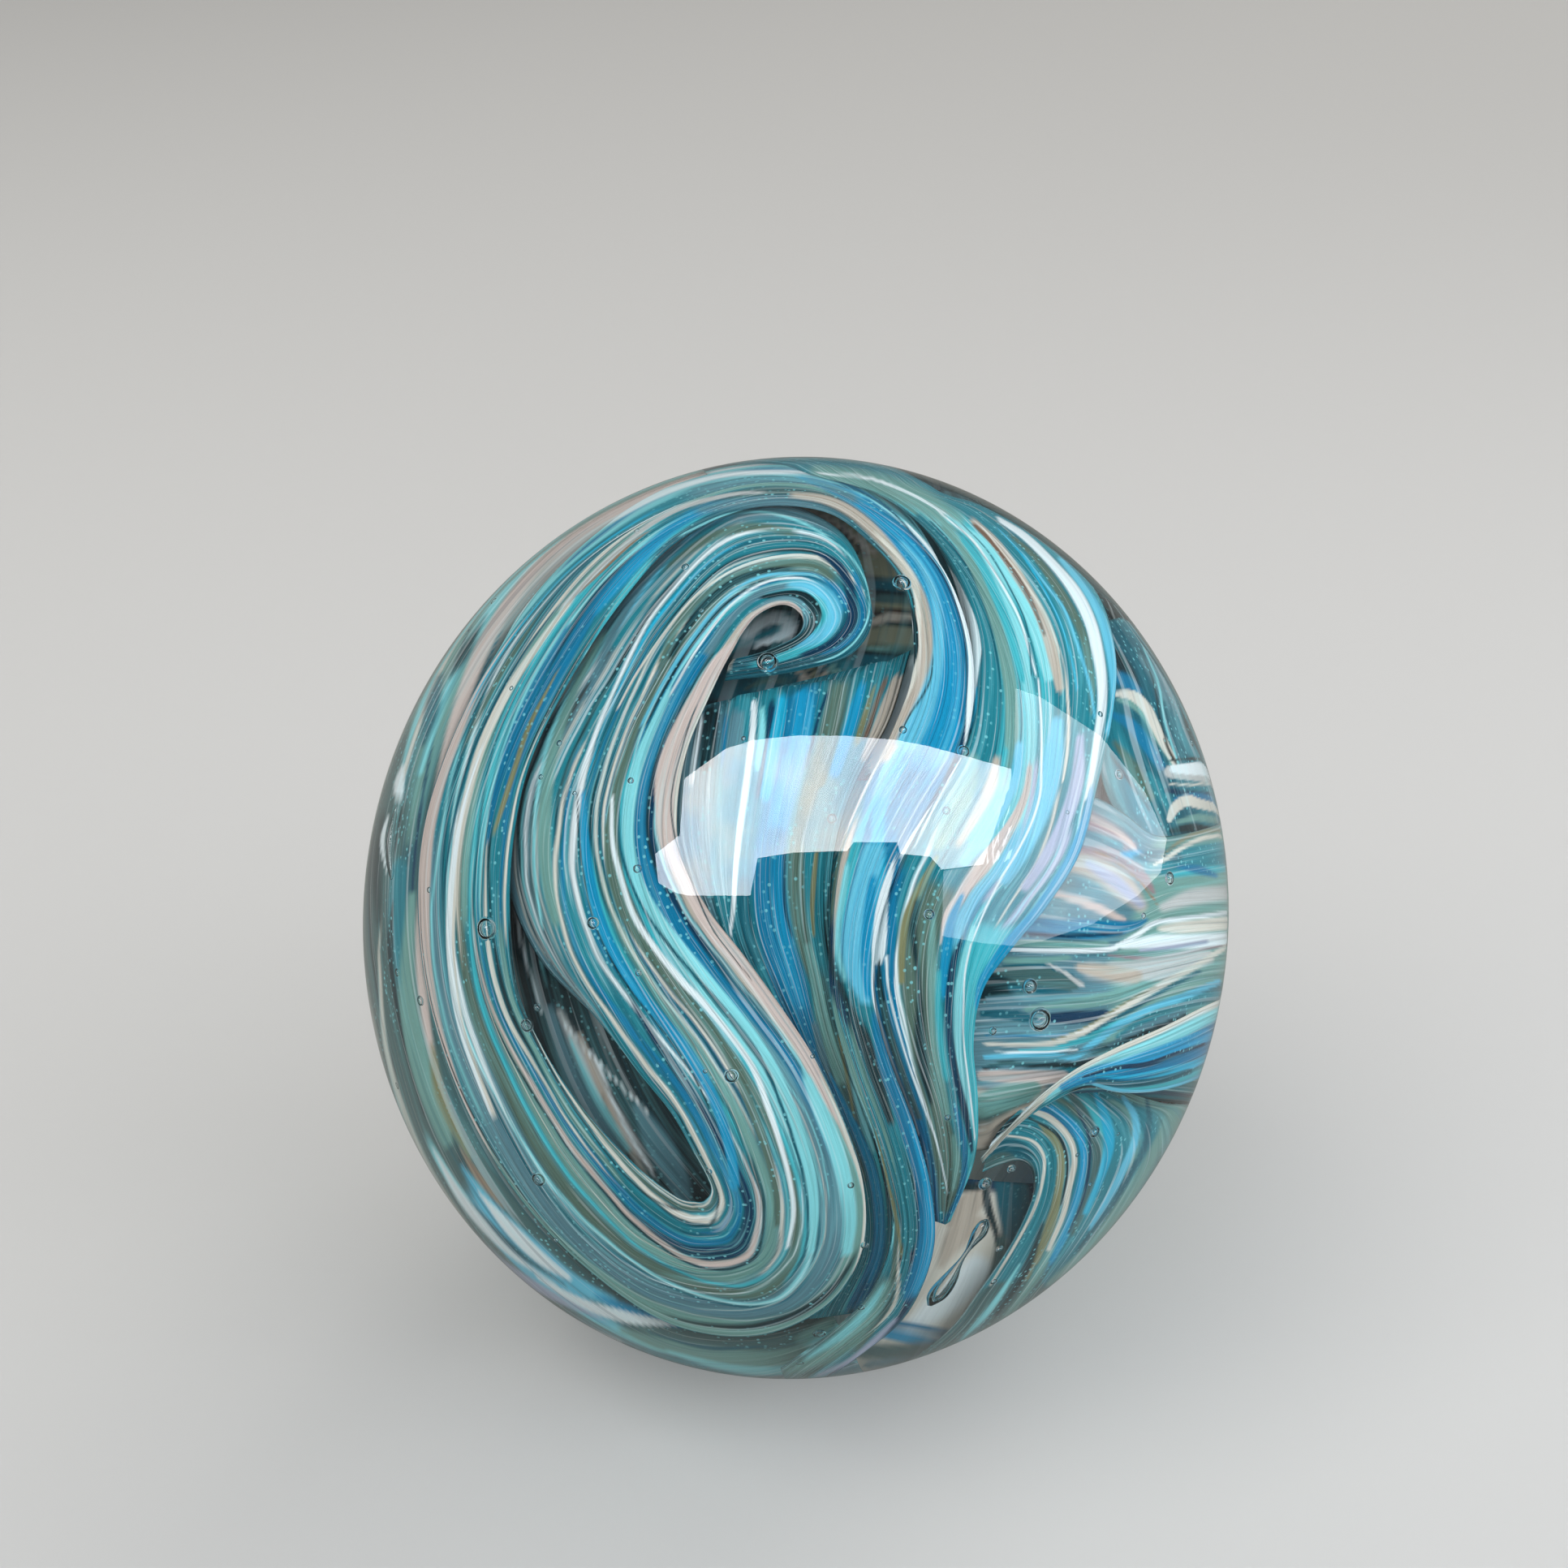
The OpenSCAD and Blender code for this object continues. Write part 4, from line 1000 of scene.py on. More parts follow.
VEIL_LAPS = ([(0, 2.4), (4, 2.4), (8, 2.2), (13, 2.2), (15, 1.2)], ())
VEIL_STRANDS = """
teal~.03 0:-.14-.01 6:-.14-.01 9:-.14-0
blue~.04 9:-.14-0 15:-.14-0
teal~.10 0:0-.5 3:0-.4 5:0-.3 6:.02-.12
turquoise~.10 1:.1-.45 3:.2-.5 5:.16-.55 6:.14-.56 8:.15-.5
pale~.08 2:.42-.56 4:.36-.54 6:.4-.56 8:.44-.6 9:.42-.5
sage~.05 1.6:.26-.34 3:.3-.38 5:.24-.32 7:.2-.28
deep~.02 2:.44-.46 4:.375-.4 6:.31-.325 7:.28-.29
turquoise~.05 2:.58-.75 4:.62-.7 6:.62-.7 8:.64-.7 10:.6-.66
cream~.04 6.4:.5-.56 7.4:.44-.52 8.4:.36-.42 9.4:.32-.35
lilac~.04 6.4:.56-.62 7.6:.6-.66 9:.6-.66
blue~.05 8.2:.56-.62 9:.5-.62 10:.42-.6 10.6:.44-.6
pink~.05 7:.42-.5 8:.32-.44 9:.3-.4 9.8:.3-.34
sky~.06 7.4:.5-.62 8.6:.44-.6 9.6:.38-.56 10.4:.4-.5
teal~.1 10.2:0-1 15:0-1
olive~.08 9:.06-.3 14:.04-.3
turquoise~.1 9.6:.6-.98 15:.6-1
lilac~.03 7.6:.88-.92 8.6:.86-.9 9.6:.84-.88
cream 7:.8-.815 8.4:.79-.805 9.6:.8-.81
white 8:.02-.035 9:.035-.05 11:.025-.045 12:.02-.04 13:.01-.03
"""

VEIL_STROKES = """
sage~.8 1.6,31.4,1 5,30.8,1.4 8.4,29.6,1.6 11,28,1.4
white~.1 1.6,31.3,.1 5,31,.2 8,29.9 10.6,28.4,.15
teal~.3 8.6,28.2,.6 10.2,26.6,.9 11.6,24.6 12.8,22 13.3,20,.8 13.5,18 13.4,16,.9 12.9,13.8
  12.3,12,.8
deep~.1 9.4,28,.1 11,26.2,.12 12.4,24 13.4,21.4 13.8,19.6 14.1,18 14.3,16 14.2,14 13.9,12
  13.4,10,.1 12,8 10.9,6.2 9.8,4.6
sage~.2 10.4,27.6,.5 12,25.6,.6 13.2,23,.7 14.1,20.4 14.6,18 14.9,16 14.9,14,.6 14.8,12.4,.5
turquoise~.2 11.6,26.8,.3 13,24.9,.6 14,22.8,.7 14.9,20.6 15.5,18.4,.6 15.8,17,.4
pale~.2 10.6,28.2,.4 12.3,26.9,.5 13.6,25,.6 14.7,22.8,.7 15.5,20.6,.6 16,18.4,.5 16.2,17,.3
white~.1 10,28.6,.1 12,27,.15 13,25.8 14,24.2 14.8,22.8 15.6,21.2 16.2,19.2 16.7,17.4,.12
pale~.2 12.2,27.2,.4 13.8,26,.6 15.2,23.6,.7 16.4,21.2,.8 17.1,19 17.6,17.2,.7
deep~.08 11.6,27.8,.06 13.4,25.9,.1 15,23.2 16,21 16.3,19 16.4,17.4,.08
beige~.2 12.4,28,.4 14,26.4,.6 15.4,24.4,.8 16.7,22.4,.9 17.5,20.4 18,18.4,.8 18.4,16.4,.6
umber~.15 12.4,27.8,.2 14,26.2,.4 15.4,24.2 16.5,22.2,.3 17.3,20.2,.2
cream~.08 13,27.6,.08 15,25.1,.12 16.4,23.1,.14 17.5,21.4 18.1,19.8 18.7,18,.16 18.9,16,.18
  19,14,.2 18.9,12 18.6,10,.15
teal~.25 13.6,27.8,.5 15.4,26,1 17,23.6,1.2 18.1,21.6 18.9,19.4,1.1 19.4,17,1 19.6,15,.8
cyan~.08 14.2,27.4,.06 15.8,25.6,.12 17.2,23.4 18.3,21.2 19.1,18.8 19.6,16.4
olive~.2 15,27,.2 16.8,25.4,.5 18.2,23.4,.6 19.2,21.8 20,20 20.4,18.2,.5 20.6,16.4 20.6,14.8,.3
sky~.1 15.8,25.8,.08 17.4,23.6,.15 18.6,22,.18 19.4,20,.2 20,18.2 20.5,16.4 20.8,14.4,.15
sky~.2 18.4,25.4,.3 20,23.5,.5 21.2,21.4,.6 21.9,19,.7 22.2,17 22.2,15,.6 21.8,13.4,.5
white~.15 14.2,28.1,.3 16,26.9,.5 18,24.9,.6 19.5,23,.8 20.5,21 21,19 21.3,17,.7 21.3,15,.6
  21,13,.5 20.7,11,.4 20.3,8.8,.3
pink~.12 16,27.7,.15 18.6,25.9,.3 20.9,23.6 22.1,21.4,.25 22.5,19.6,.15
sage~.5 12.3,11.4,.8 12,9.6,1.2 11,7.6,1.4 9.9,5.6,1
beige~.4 14,11.4,.5 13.6,9.6,.8 12.6,7.6,.7 11.4,5.6,.4
sky~.4 18.2,14,.8 17.9,11.4,1.4 17.2,8.4 16,5.6,1.2 14.6,3.2,.9
lilac~.3 19.8,13,.5 19.6,10,.9 18.8,7.4 17.6,5,.8 16,2.6,.6
pale~.3 16.4,14.6,.5 16.3,11.8,.6 15.8,8.8,.5 14.8,6.4,.4
sky~.3 15.6,12.4,.6 15.2,10,.8 14.2,8,.9 13,6 11.8,4.4,.7
pink~.15 16.3,11,.35 16,9,.5 15,7,.6 13.6,5.2 12.4,3.6,.5 11.4,2 10.5,.6,.4 10.1,-1.4,.1
white~.08 16.9,17,.1 17.1,14,.15 17.1,11 17,9 16.4,7 15.4,5 14.2,3 13.2,1,.12 12.2,-1.4
azure~.2 20.6,9.4,.3 20.1,7,.6 19.2,4.6,.8 18,2.5,.9 16.6,.5 15.2,-1 14,-2.5,.8 13,-4,.6
  12.6,-5.6,.4
azure~.25 11.6,2,.3 10.9,.4,.6 10.6,-1.2,.7 10.4,-3,.6 10.3,-5,.4
turquoise~.2 13,-1,.6 12.3,-3,.8 12.1,-5 12.1,-8 12.4,-10.6 12.7,-13,.7 12.6,-15,.4
pale~.2 12.4,-.2,.3 11.9,-2,.5 11.4,-4.4 11.3,-6.4 11.3,-8.4 11.6,-10.4 11.9,-12,.4 12.2,-14,.2
navy~.2 11.6,-1,.2 11,-2.6,.45 10.7,-5,.5 10.7,-7 10.9,-9 11.3,-11 11.8,-13 12.1,-14.6,.4
  12.3,-15.8,.2
white~.08 12.2,-1.4,.12 11.8,-3.4 11.7,-6 11.7,-8 12,-10.6 12.3,-13 12.5,-15,.1
olive~.4 8.4,.6,1.4 8.4,-2,1.6 8.4,-4,1.8 8.6,-7,1.6 9,-10,1.4 9.8,-13 10.4,-15.6,1.8
  10.7,-17.8,1.7 10.4,-19.6,.8
gold~.2 9.8,4.6,.3 8.6,2.4,.5 7.7,.4 7.4,-2 7.4,-4,.4
dark~.4 8.5,1.6,.4 8.2,-.6,.5 8.6,-4,.3 8.7,-8,.8 9,-10.4,.7 9.4,-12.4,.3
sage~.3 9.6,.6,.3 9.5,-2,.6 9.6,-5,.7 9.8,-8,.8 10.1,-11,.7 10.6,-13.4,.5
turquoise~.3 10,-3.4,.3 9.95,-5.4,.4 10.1,-8,.5 10.5,-10.6
sage~.3 11,-14.8,.3 11.2,-16.6,.5 11,-18.4,.3
blue~.15 11.1,-12.6,.3 11.6,-14.4,.4 11.8,-16 11.7,-17.6 11.3,-19 10.8,-20,.3 10.1,-21,.1
"""

CURTAIN_LINES = guides("""
-8.6,13.6 -9.2,9.4 -8.9,5.2 -7.2,1.2 -4.8,-2.4 -2.2,-6.2 .3,-10.2 2.3,-14.4 3.6,-18.8 3.4,-23.2
  1,-27.4
-3,15.3 -3.6,11.6 -4.1,7.6 -4.4,3.6 -4,-.6 -2.2,-4.6 .4,-9 2.8,-13.6 4.3,-18.2 4.5,-22.8 2.4,-27.2
1.6,16 .9,12.2 -.1,8.4 -.8,4.4 -.6,.2 .4,-3.8 1.6,-8.2 3.6,-13 5.3,-17.8 5.5,-22.6 3.6,-27
7.8,18.2 6.6,14.2 4.4,10.2 2.9,5.8 2.5,1.2 2.9,-3.2 3.9,-7.8 5.5,-12.6 6.8,-17.4 7,-22.2 5.2,-26.8
""")
CURTAIN_STRANDS = """
slate~.06 0:.06-.24 2.4:.04-.2 3.6:.08-.14
blue~.05 0:.5-.66 1:.49-.67 3:.48-.66 4:.48-.67 5:.44-.68 6:.4-.62 7:.5-.7
olive~.05 0:.7-.79 1:.7-.79 3:.69-.78 4:.7-.79 5:.72-.82
grey~.06 5:.82-.9 6:.7-.9 7:.6-.84 8:.5-.8
turquoise~.06 7:.82-.9 8:.7-.86 10:.5-.8
blue~.06 6.4:.5-.64 7.6:.6-.78 9:.6-.84 10:.6-.9
"""

CURTAIN_STROKES = """
dark~.3 -5.8,14.6,1.1 -6,12.6 -6.2,11,1
white~.15 -6.5,14.2,.25 -6.9,12,.35 -7.2,10
blue~.12 -4.8,14.4,.3 -4.9,13 -5,11
slate~.2 -4,14.4,1 -4.2,12.6,1.1 -4.6,10
pale~.15 -2.3,15,.3 -2.3,13,.5 -2.6,11,.4
navy~.15 -1.6,15.2,.5 -1.7,14 -2,12,.4 -2.6,9,.3
cyan~.2 -.9,15.6,.7 -1.1,14,.9 -1.5,12 -2,9,.8
azure~.3 .6,15.6,1.4 .4,14,1.6 0,12 -.6,9.6,1.5 -1.2,7,1.4
blue~.3 -.2,15.6,.5 -.4,14,.6 -.8,12
navy~.1 2.2,15.9,.2 1.7,14.6 1.3,13 .8,11,.15
olive~.2 3.3,16.4,.8 2.8,14.6,1.2 2.3,12.6 1.6,10,1.1
azure~.2 4.7,16.6,.5 4.2,15,.8 3.6,13 2.8,10.6,.7
gold~.15 5.5,16.4,.2 4.9,14.6,.4 4.3,12.6
umber~.15 6.3,17,.3 5.5,15,.4 4.9,13
beige~.2 7.2,16.8,1 6.6,15.2,1.2 5.8,13.4,1 5,11.6,.8
deep~.4 -3.5,3,.8 -3.5,1,1 -3.2,-1 -2.8,-2.6,.9
blue~.4 -1.4,6,1.6 -1.6,4,1.8 -1.6,2,1.9 -1.3,0,2 -1,-2,2.2 -.5,-3.6,2.4 0,-5.2,2 .6,-6.8,1.4
  1.2,-8.4,.6
azure~1 -1.2,5,.3 -1.2,2,.5 -.9,-.4,.7 -.4,-3,.9 .4,-5.4,.7
navy~.1 -.7,5,.2 -.75,3 -.7,1.4 -.5,.2 -.2,-.8,.12
white~.1 -2.85,15.4,.35 -2.9,14,.4 -3.1,12,.45 -3.5,9 -3.9,6,.4 -4.15,3.4,.35 -4.3,1,.3
  -4.5,-.6,.2
olive~.3 .2,5,.8 .2,3,.9 .3,1 .6,-.6,.8 1.1,-2.4,.6 1.5,-4.4,.5
sage~.3 .9,-1.6,.5 1.5,-4,.8 1.9,-6.4,.9 2.6,-8.6,1 3.2,-10.8,.8
gold~.15 1.5,5,.3 1.3,3,.35 1.2,1,.3 1.3,-.8,.2
teal~.2 2,4.6,.5 1.8,2.6 1.7,.6,.4 1.9,-1.4,.3
slate~.2 1.4,-7,.5 1.9,-9 2.4,-10.6,.3
gold~.1 3,-7.6,.12 3.4,-9.6,.18 3.8,-11.6,.2 4.1,-13.4,.1
pale~.3 3.9,-10,.3 4.4,-12,.6 4.9,-14,.5 5.4,-15.6,.2
grey~.3 4.9,-11,.4 5.4,-13,.5 5.9,-15
dark~.08 4.3,-9,.08 4.6,-11,.1 5,-13,.12 5.5,-15,.1 6.2,-17.4
azure~.2 2.5,-10.6,.2 3.4,-12.6,.4 4.4,-14.8,.6 5.2,-16.8 5.7,-18.6 5.9,-20.6 5.8,-22.6,.5
  5.2,-24.6,.4
"""

FLANK_LINES = guides("""
-6,31.2 -14.4,26.8 -20.4,20.6 -24.4,13.4 -26.2,6.8 -26.6,0 -25.6,-7 -23.2,-13.8 -19.4,-20
  -14.4,-25.1 -8.6,-28.6 -2.6,-29.1 2.9,-27.6
-6.6,32.6 -15.8,28 -22.4,21.6 -27,14 -29.2,6.8 -29.6,-.3 -28.4,-8 -26,-15.8 -21.8,-22.6 -16,-27.6
  -8.8,-31 -2.3,-31.6 4,-29.6
-7,34.2 -18,29.8 -25.6,22.9 -31,14.5 -33,7 -33,-.6 -31.8,-9.6 -29,-18 -24.4,-25 -18,-30 -9,-33.5
  -2,-33.8 5,-31.8
""")
FLANK_LAPS = ([(0, 1.2), (3, 1.6), (8, 1.8), (11, 1.2), (12, 1.0)], ())
FLANK_DEPTH = [UPPER_DEPTH] * 9 + [0.918, 0.9] + [UNDER_DEPTH] * 2
FLANK_STRANDS = """
pink~.2 0:0-.6 1.6:0-.45 2.6:0-.2
sage~.1 0:.5-1 1:.4-1 2:.3-.7 3:.3-.5
pale~.05 0:.7-.86 1.4:.6-.74 2.6:.38-.5 3.6:.2-.28
deep~.1 3:0-.3 4:0-.24 6:0-.2 7:.0-.2
grey~.15 3:.5-1 5:.4-1 7:.4-1 8:.6-1
cream~.04 3:.62-.68 4:.6-.66 6:.58-.63 7:.58-.64 8:.6-.66
dark~.04 3.4:.5-.54 5:.46-.5 6.6:.48-.52
pale~.04 7:.3-.4 8:.2-.32 9:.12-.26 10:.1-.2
sky~.06 7.6:.1-.3 8.4:.06-.3 9.4:.05-.2
slate~.1 9:.3-.8 10:.2-.8 11:.2-.9 12:0-1
sage~.1 9.6:.5-.8 11:.4-.6
"""
# The dark and white strokes over the long bubble by the left rim are its painted dark side and
# painted highlight.
FLANK_STROKES = """
sage~1.2 -17.5,26,1.2 -22,20,1.6 -25.2,13,1.4 -27,6,.8
pink~.3 -6,31,.4 -12,29,.8 -17,26,.9 -21.3,20,1 -23.4,14.4 -24.6,9 -25.4,4 -25.9,-1,.9 -25.7,-6,.6
  -24.8,-11,.3
deep~.12 -20.6,20,.1 -22.8,14.4,.3 -23.9,9,.35 -24.6,4 -25.1,-1,.3 -24.9,-6,.2
navy~.1 -22.2,21.6,.1 -24.6,15,.15 -26,8,.2 -26.6,2,.15
gold~.2 -18.4,13.9,.2 -20.2,8.5,.4 -21,6.4,.3
cream~.15 -21.9,22.4,.1 -24.8,17.2,.25 -27,11 -28.2,5 -28.9,-2,.15
white~.2 -27.2,11.2,.1 -27.5,9.5,.7 -27.4,7.8,.1
pale~.4 -16.5,27.2,.3 -20.6,22.6,.6 -24,16.6,.5 -26,10.6,.3
deep~.5 -24.6,17.4,.3 -25.2,15,1 -25.8,12.6,.3
dark~.4 -21.6,21.2,.1 -23,18.8,.7 -24,17,.1
grey~1 -27.6,8,1.5 -28,2,2 -27.6,-4,1.5 -26.6,-9,1
dark~.6 -28.6,7.6,.3 -29.1,4,.7 -28.9,0,.3
teal~.6 -27.4,4,1 -27.6,0,1.2 -27.2,-4,.8
sage~.5 -26.6,2,.5 -26.9,-3,1 -26.6,-7,1.4 -25.6,-11,1.5 -24.2,-15,.9
dark~.15 -27.9,1.6,.1 -28.1,-1,.4 -27.9,-4,.3 -27,-9,.15 -25.8,-13,.1
pale~.2 -28.9,-3,.06 -28.6,-7,.2 -27.6,-12,.25 -25.8,-16.6,.1
dark~.1 -27.3,8,.06 -27.5,7,.18 -27.8,5 -28.1,3.4,.06
white~.1 -28.2,7.6,.1 -28.6,6.2,.3 -28.6,5,.25 -28.3,3.6,.06
gold~.5 -25.2,-8.6,.3 -24.6,-12,.8 -22.8,-16,.5
dark~.3 -23.8,-14.6,.1 -22.4,-17.4,.7 -20.6,-19.6,.1
amber~.25 -23.2,-15.6,.1 -21.8,-17.8,.5 -20.2,-19.8,.1
white~.3 -25,-15.8,.1 -23,-19.2,.6 -20,-22.4,.7 -16.6,-25,.2
sky~.4 -23,-17,.2 -20.8,-20.2,1.2 -18.2,-22.8,1.6 -15.6,-24.8,1.2 -12.6,-26.2,.6
white~.25 -21.8,-18.8,.15 -19.8,-21.1,.8 -17.6,-23.2 -15.6,-24.6,.3
azure~.4 -13.8,-25.8,.3 -11,-27,.8 -8,-27.8,.4
white~.2 -18,-24.4,.15 -15,-26.2,.6 -12,-27.2,.8 -9.6,-27.6,.5 -7.4,-27.7,.2
lilac~.3 -23.4,-20.4,.1 -20.4,-23.6,.7 -16.4,-26,.5 -13.4,-27.4,.1
white~.3 -23.6,-21.6,.1 -20.4,-24.8,.45 -16,-27.4,.5 -12,-29,.1
deep~.3 -22.4,-19.4,.1 -19.4,-22.6,.4 -16,-25,.1
slate~.4 -21.6,-25,.2 -17.6,-27.8,.8 -12.6,-29.6,.4
dark~.4 -24.8,-20.8,.1 -21.4,-25,.6 -17,-28.2,.3
cream~.2 -28.9,-2,.15 -28.3,-9,.3 -25.9,-16,.35 -22.3,-21.6,.3 -18.6,-25.8,.15
pale~.35 -18,-28.6,.1 -13,-30.6,.5 -7.6,-31.8 -2,-32.2,.2
teal~.5 -14,-28.8,.3 -9,-30.4,1 -3.6,-31,.8 1,-30.4,.3
sage~.4 -12,-28.2,.3 -9,-29.2,.9 -5,-30,1.2 -1.6,-30.2 1,-29.6,1 3,-29,.6
pale~.3 -9,-29.6,.2 -5,-30.7,.5 -1.6,-31,.6 1,-30.5,.5 3,-29.6,.2
sage~.5 .6,-28.8,.8 2.4,-28,1.4 4,-27,1.2
pale~.4 1,-29.2,.3 2.6,-28.4,.6 4.2,-27.2,.4
deep~.2 -10,-28.4,.1 -6,-29.4,.3 -2,-29.3,.1
mist~.4 -7,-31.3,.2 -3,-31.7,.4 1,-31.5,.3
"""

FAN_LINES = guides("""
16.5,9.8 18.5,9.5 21,8.8 23,7.6 25,6.2 27.5,6.4 30.5,7.3 33,8
15,4.6 17,4.5 19.5,4.5 22,3.8 24.3,2.8 27,3.3 30.5,3.8 33,4
13,0 14,-.2 17,-.4 20,-.6 23,-.6 26,.6 30.5,.8 33,.6
11.6,-2.6 12.4,-2.4 15,-2.2 18.5,-2.2 22,-2.4 26,-2 30.3,-1.2 33,-1.6
11.2,-6 12,-6 15,-5.8 18.5,-5.6 22,-5.2 26,-3.8 30,-3 32.6,-3.8
11.2,-8.8 12,-8.8 15,-8.6 18.5,-8.5 21.5,-7.8 25.5,-6.6 29.6,-6 32.4,-7
11.6,-12.2 12.8,-12.2 14.8,-11.9 18,-11.2 21,-10.8 25,-10.8 29.3,-11.2 32,-12
""")
FAN_LAPS = ((), [(0, 3.6), (1, 3.4), (2, 2.4), (3, 1.6), (4, 1.4), (7, 1.6)])
FAN_STRANDS = """
beige~.03 0:.95-1.14 1:.96-1.14 2:.97-1.14 2.8:.98-1.14
grey~.03 .4:1.02-1.06 1.6:1.02-1.06 2.6:1.03-1.06
teal~.03 3:.92-1.14 5:.9-1.14 7:.9-1.14
navy~.02 3.4:1.05-1.08 5:1.05-1.08 7:1.06-1.09
teal~.1 0:0-1 .8:.3-1
sage~.1 4:0-1 7:0-1
"""
FAN_STROKES = """
mauve~.5 16,8.4,1 19,7.6,1.6 21.4,6.6 23.2,5.4,1
slate~.3 17,6.8,.5 20,6.2,.9 22.4,5.4,.8
pink~.15 18.6,8.4,.2 20.8,7.3,.4 22.4,6.4 23.6,5.2,.3 23.2,4.6,.1
mauve~.25 18.6,5.2,.5 20.6,5,.9 22.2,4.7,1 23.6,3.8 24.4,3,.6 24.9,2.2,.2
amber~.1 20.4,5.3,.08 22.4,4.3,.12 24.2,2.7 25.2,1.3,.08
beige~.6 16.6,4.4,1.2 19,4.4,1.4 21,3.8,1.6 22.8,2.6 24,1.3,.8
lilac~.5 20.4,4.2,.5 22.2,3,.9 24,1.4,.5
pink~.25 17.6,2.3,.3 20.4,1.4,.6 22.8,.3,.4
blue~.25 12.6,-.3,1.4 15,-.3 18,-.3,1.3 21,-.35 23.4,-.1,.7 24.4,.3,.2
navy~.12 14,-.6,.3 17,-.75,.35 20,-.75,.3 22.6,-.6,.2
sage~.15 14,-1.3,.4 17,-1.35,.5 19.6,-1.45 21.6,-1.35,.4
sage~.2 14.6,-2.5,.4 17,-2.5 19,-2.3,.3
white~.12 15,-1.75,.25 18,-1.85,.35 21.6,-1.75 22.6,-1.4 23.8,-.7 25,.1 27,.4,.3 30,.8
sage~.6 25.6,1.6,1 27.6,2,1.6 30,2.2,1.8 32,2.4
mist~.5 25.6,1.2,.6 27.6,1.9,1.1 30,2.2,1
azure~.3 22.8,4.9,.3 23.8,4.8,.7 25,4.5,.3
teal~.4 24.6,3.8,.6 26,4.2,1.6 28,4.6,1.8 31,5,2
deep~.3 23.6,4.6,.3 25,4.8,.9 26.6,4.6,.6
turquoise~.3 26,3.4,.3 28,3.7,.5 30,3.9
blue~.3 26.6,4,.2 28,3.8,.6 29.2,3.4,.3
cream~.12 24.9,4.1,.15 25.8,4.6,.3 27,5.4 28.4,6 30,6.2,.25
moss~.12 25.4,4.7,.1 26.8,5.8,.25 28.2,6.4,.3 30,6.6,.25
cream~.2 25.4,-.3,.4 27,-.2,.8 30,.1,.9
white~.3 22.8,-1.5,.4 25,-1.2,.9 27.4,-1.2,1 30,-1,.9
lilac~.2 24,-1.8,.2 26,-1.6,.3 28.6,-1.2
mauve~.1 21.8,-2.15,.12 23.4,-2.3,.25 25,-2.4,.28 26.4,-2.1 28.4,-1.7,.25 30.5,-1.4,.2
mist~.3 22,-3.1,1 24,-3.2,1.4 26,-3,1.5 28.6,-2.3,1
mist~.8 24,-2.8,.6 26,-2.6,.9 28,-2.2,.7
mist~.8 20.6,-3.2,1 23,-3.6,1.2
grey~.12 13.4,-3.7,1.4 16,-3.9,1.9 18.4,-4,1.6 19.6,-4.2,.5
dark~.5 12.8,-4.2,2.2 13.8,-4.4,2 15,-4.4,1
deep~.3 15,-4.4,.4 17,-4.6,.5 19,-4.7,.2
deep~.1 14.4,-2.9,.12 17,-2.8,.2 19,-3.5,.3 20,-4.2
mist~.1 17.4,-2.65,.1 18.8,-3.4,.25 19.9,-4.2,.3
beige~.3 19.8,-3,.6 21.6,-3.3,1 23.6,-3.6
slate~.12 13.4,-5.3,.5 15.6,-5.3,.6 18,-5.2,.4
sage~.15 16,-5.9,.3 17.6,-5.6,.5 20,-5.4,.8 22.4,-5 23.4,-4.5,.4
deep~.1 13,-6.2,.4 15,-6.3,.7 17,-6.7
navy~.12 16.8,-6.4,.4 18.6,-6.5,.8 20.4,-6.4 21.6,-6.1,.4
slate~.08 13,-7.3,.3 16,-7.35,.4 19,-7.3,.35 20.6,-7,.2
blue~.06 13.2,-7.75,.1 16,-7.75,.15 19,-7.6,.12
cream~.12 13.2,-8.3,.2 15.4,-8.35,.3 17.6,-8.3,.4 19,-7.9,.45 20.6,-7.2,.5 21.6,-6.5 23,-5.6
  24.6,-4.7 26,-3.9,.45 28,-2.8,.4 30,-1.5,.35
gold~.06 17.6,-8.1,.06 19.6,-7.4,.1 21.6,-6.3,.12 23,-5.4 25,-4.3,.1
deep~.15 19.6,-8.1,.1 21.4,-7,.25 23.4,-5.9,.3 25.4,-4.7 28,-3.3
teal~.3 22.4,-7.8,.3 24.4,-6.6,.8 26.6,-5.6,1 29.6,-4.6,1.2
turquoise~.1 15.6,-8.75,.2 18,-8.6,.35 19.4,-8.2,.4 21,-7.6,.45 22.6,-6.7,.3
dark~.15 20.6,-9,.15 22.4,-8.3,.5 24.4,-7.4 27,-6.4
slate~.12 21.8,-8.4,.2 23.4,-7.5,.45 25,-6.8 27,-6,.4
sky~.12 13.2,-9.2,.3 15.4,-9.1,.4 18,-9.1 19.4,-9.2 20.4,-8.5,.45 22,-7.3,.5 23.4,-6.5 25,-5.7,.45
  27,-5,.5 29.4,-4,.4
white~.1 14,-8.85,.1 16,-8.9,.15 18,-8.8 19.6,-8.7,.12
dark~.1 13.2,-10,.3 14.6,-9.65,.35 16,-9.75 18,-9.75 19.8,-9.7 21,-9.2,.3
pink~.2 13,-10.5,.7 16,-10.6,.9 18.6,-10.6
sage~.3 13,-12.6,1.6 14.6,-12,1.8 16.6,-11.4,1
"""

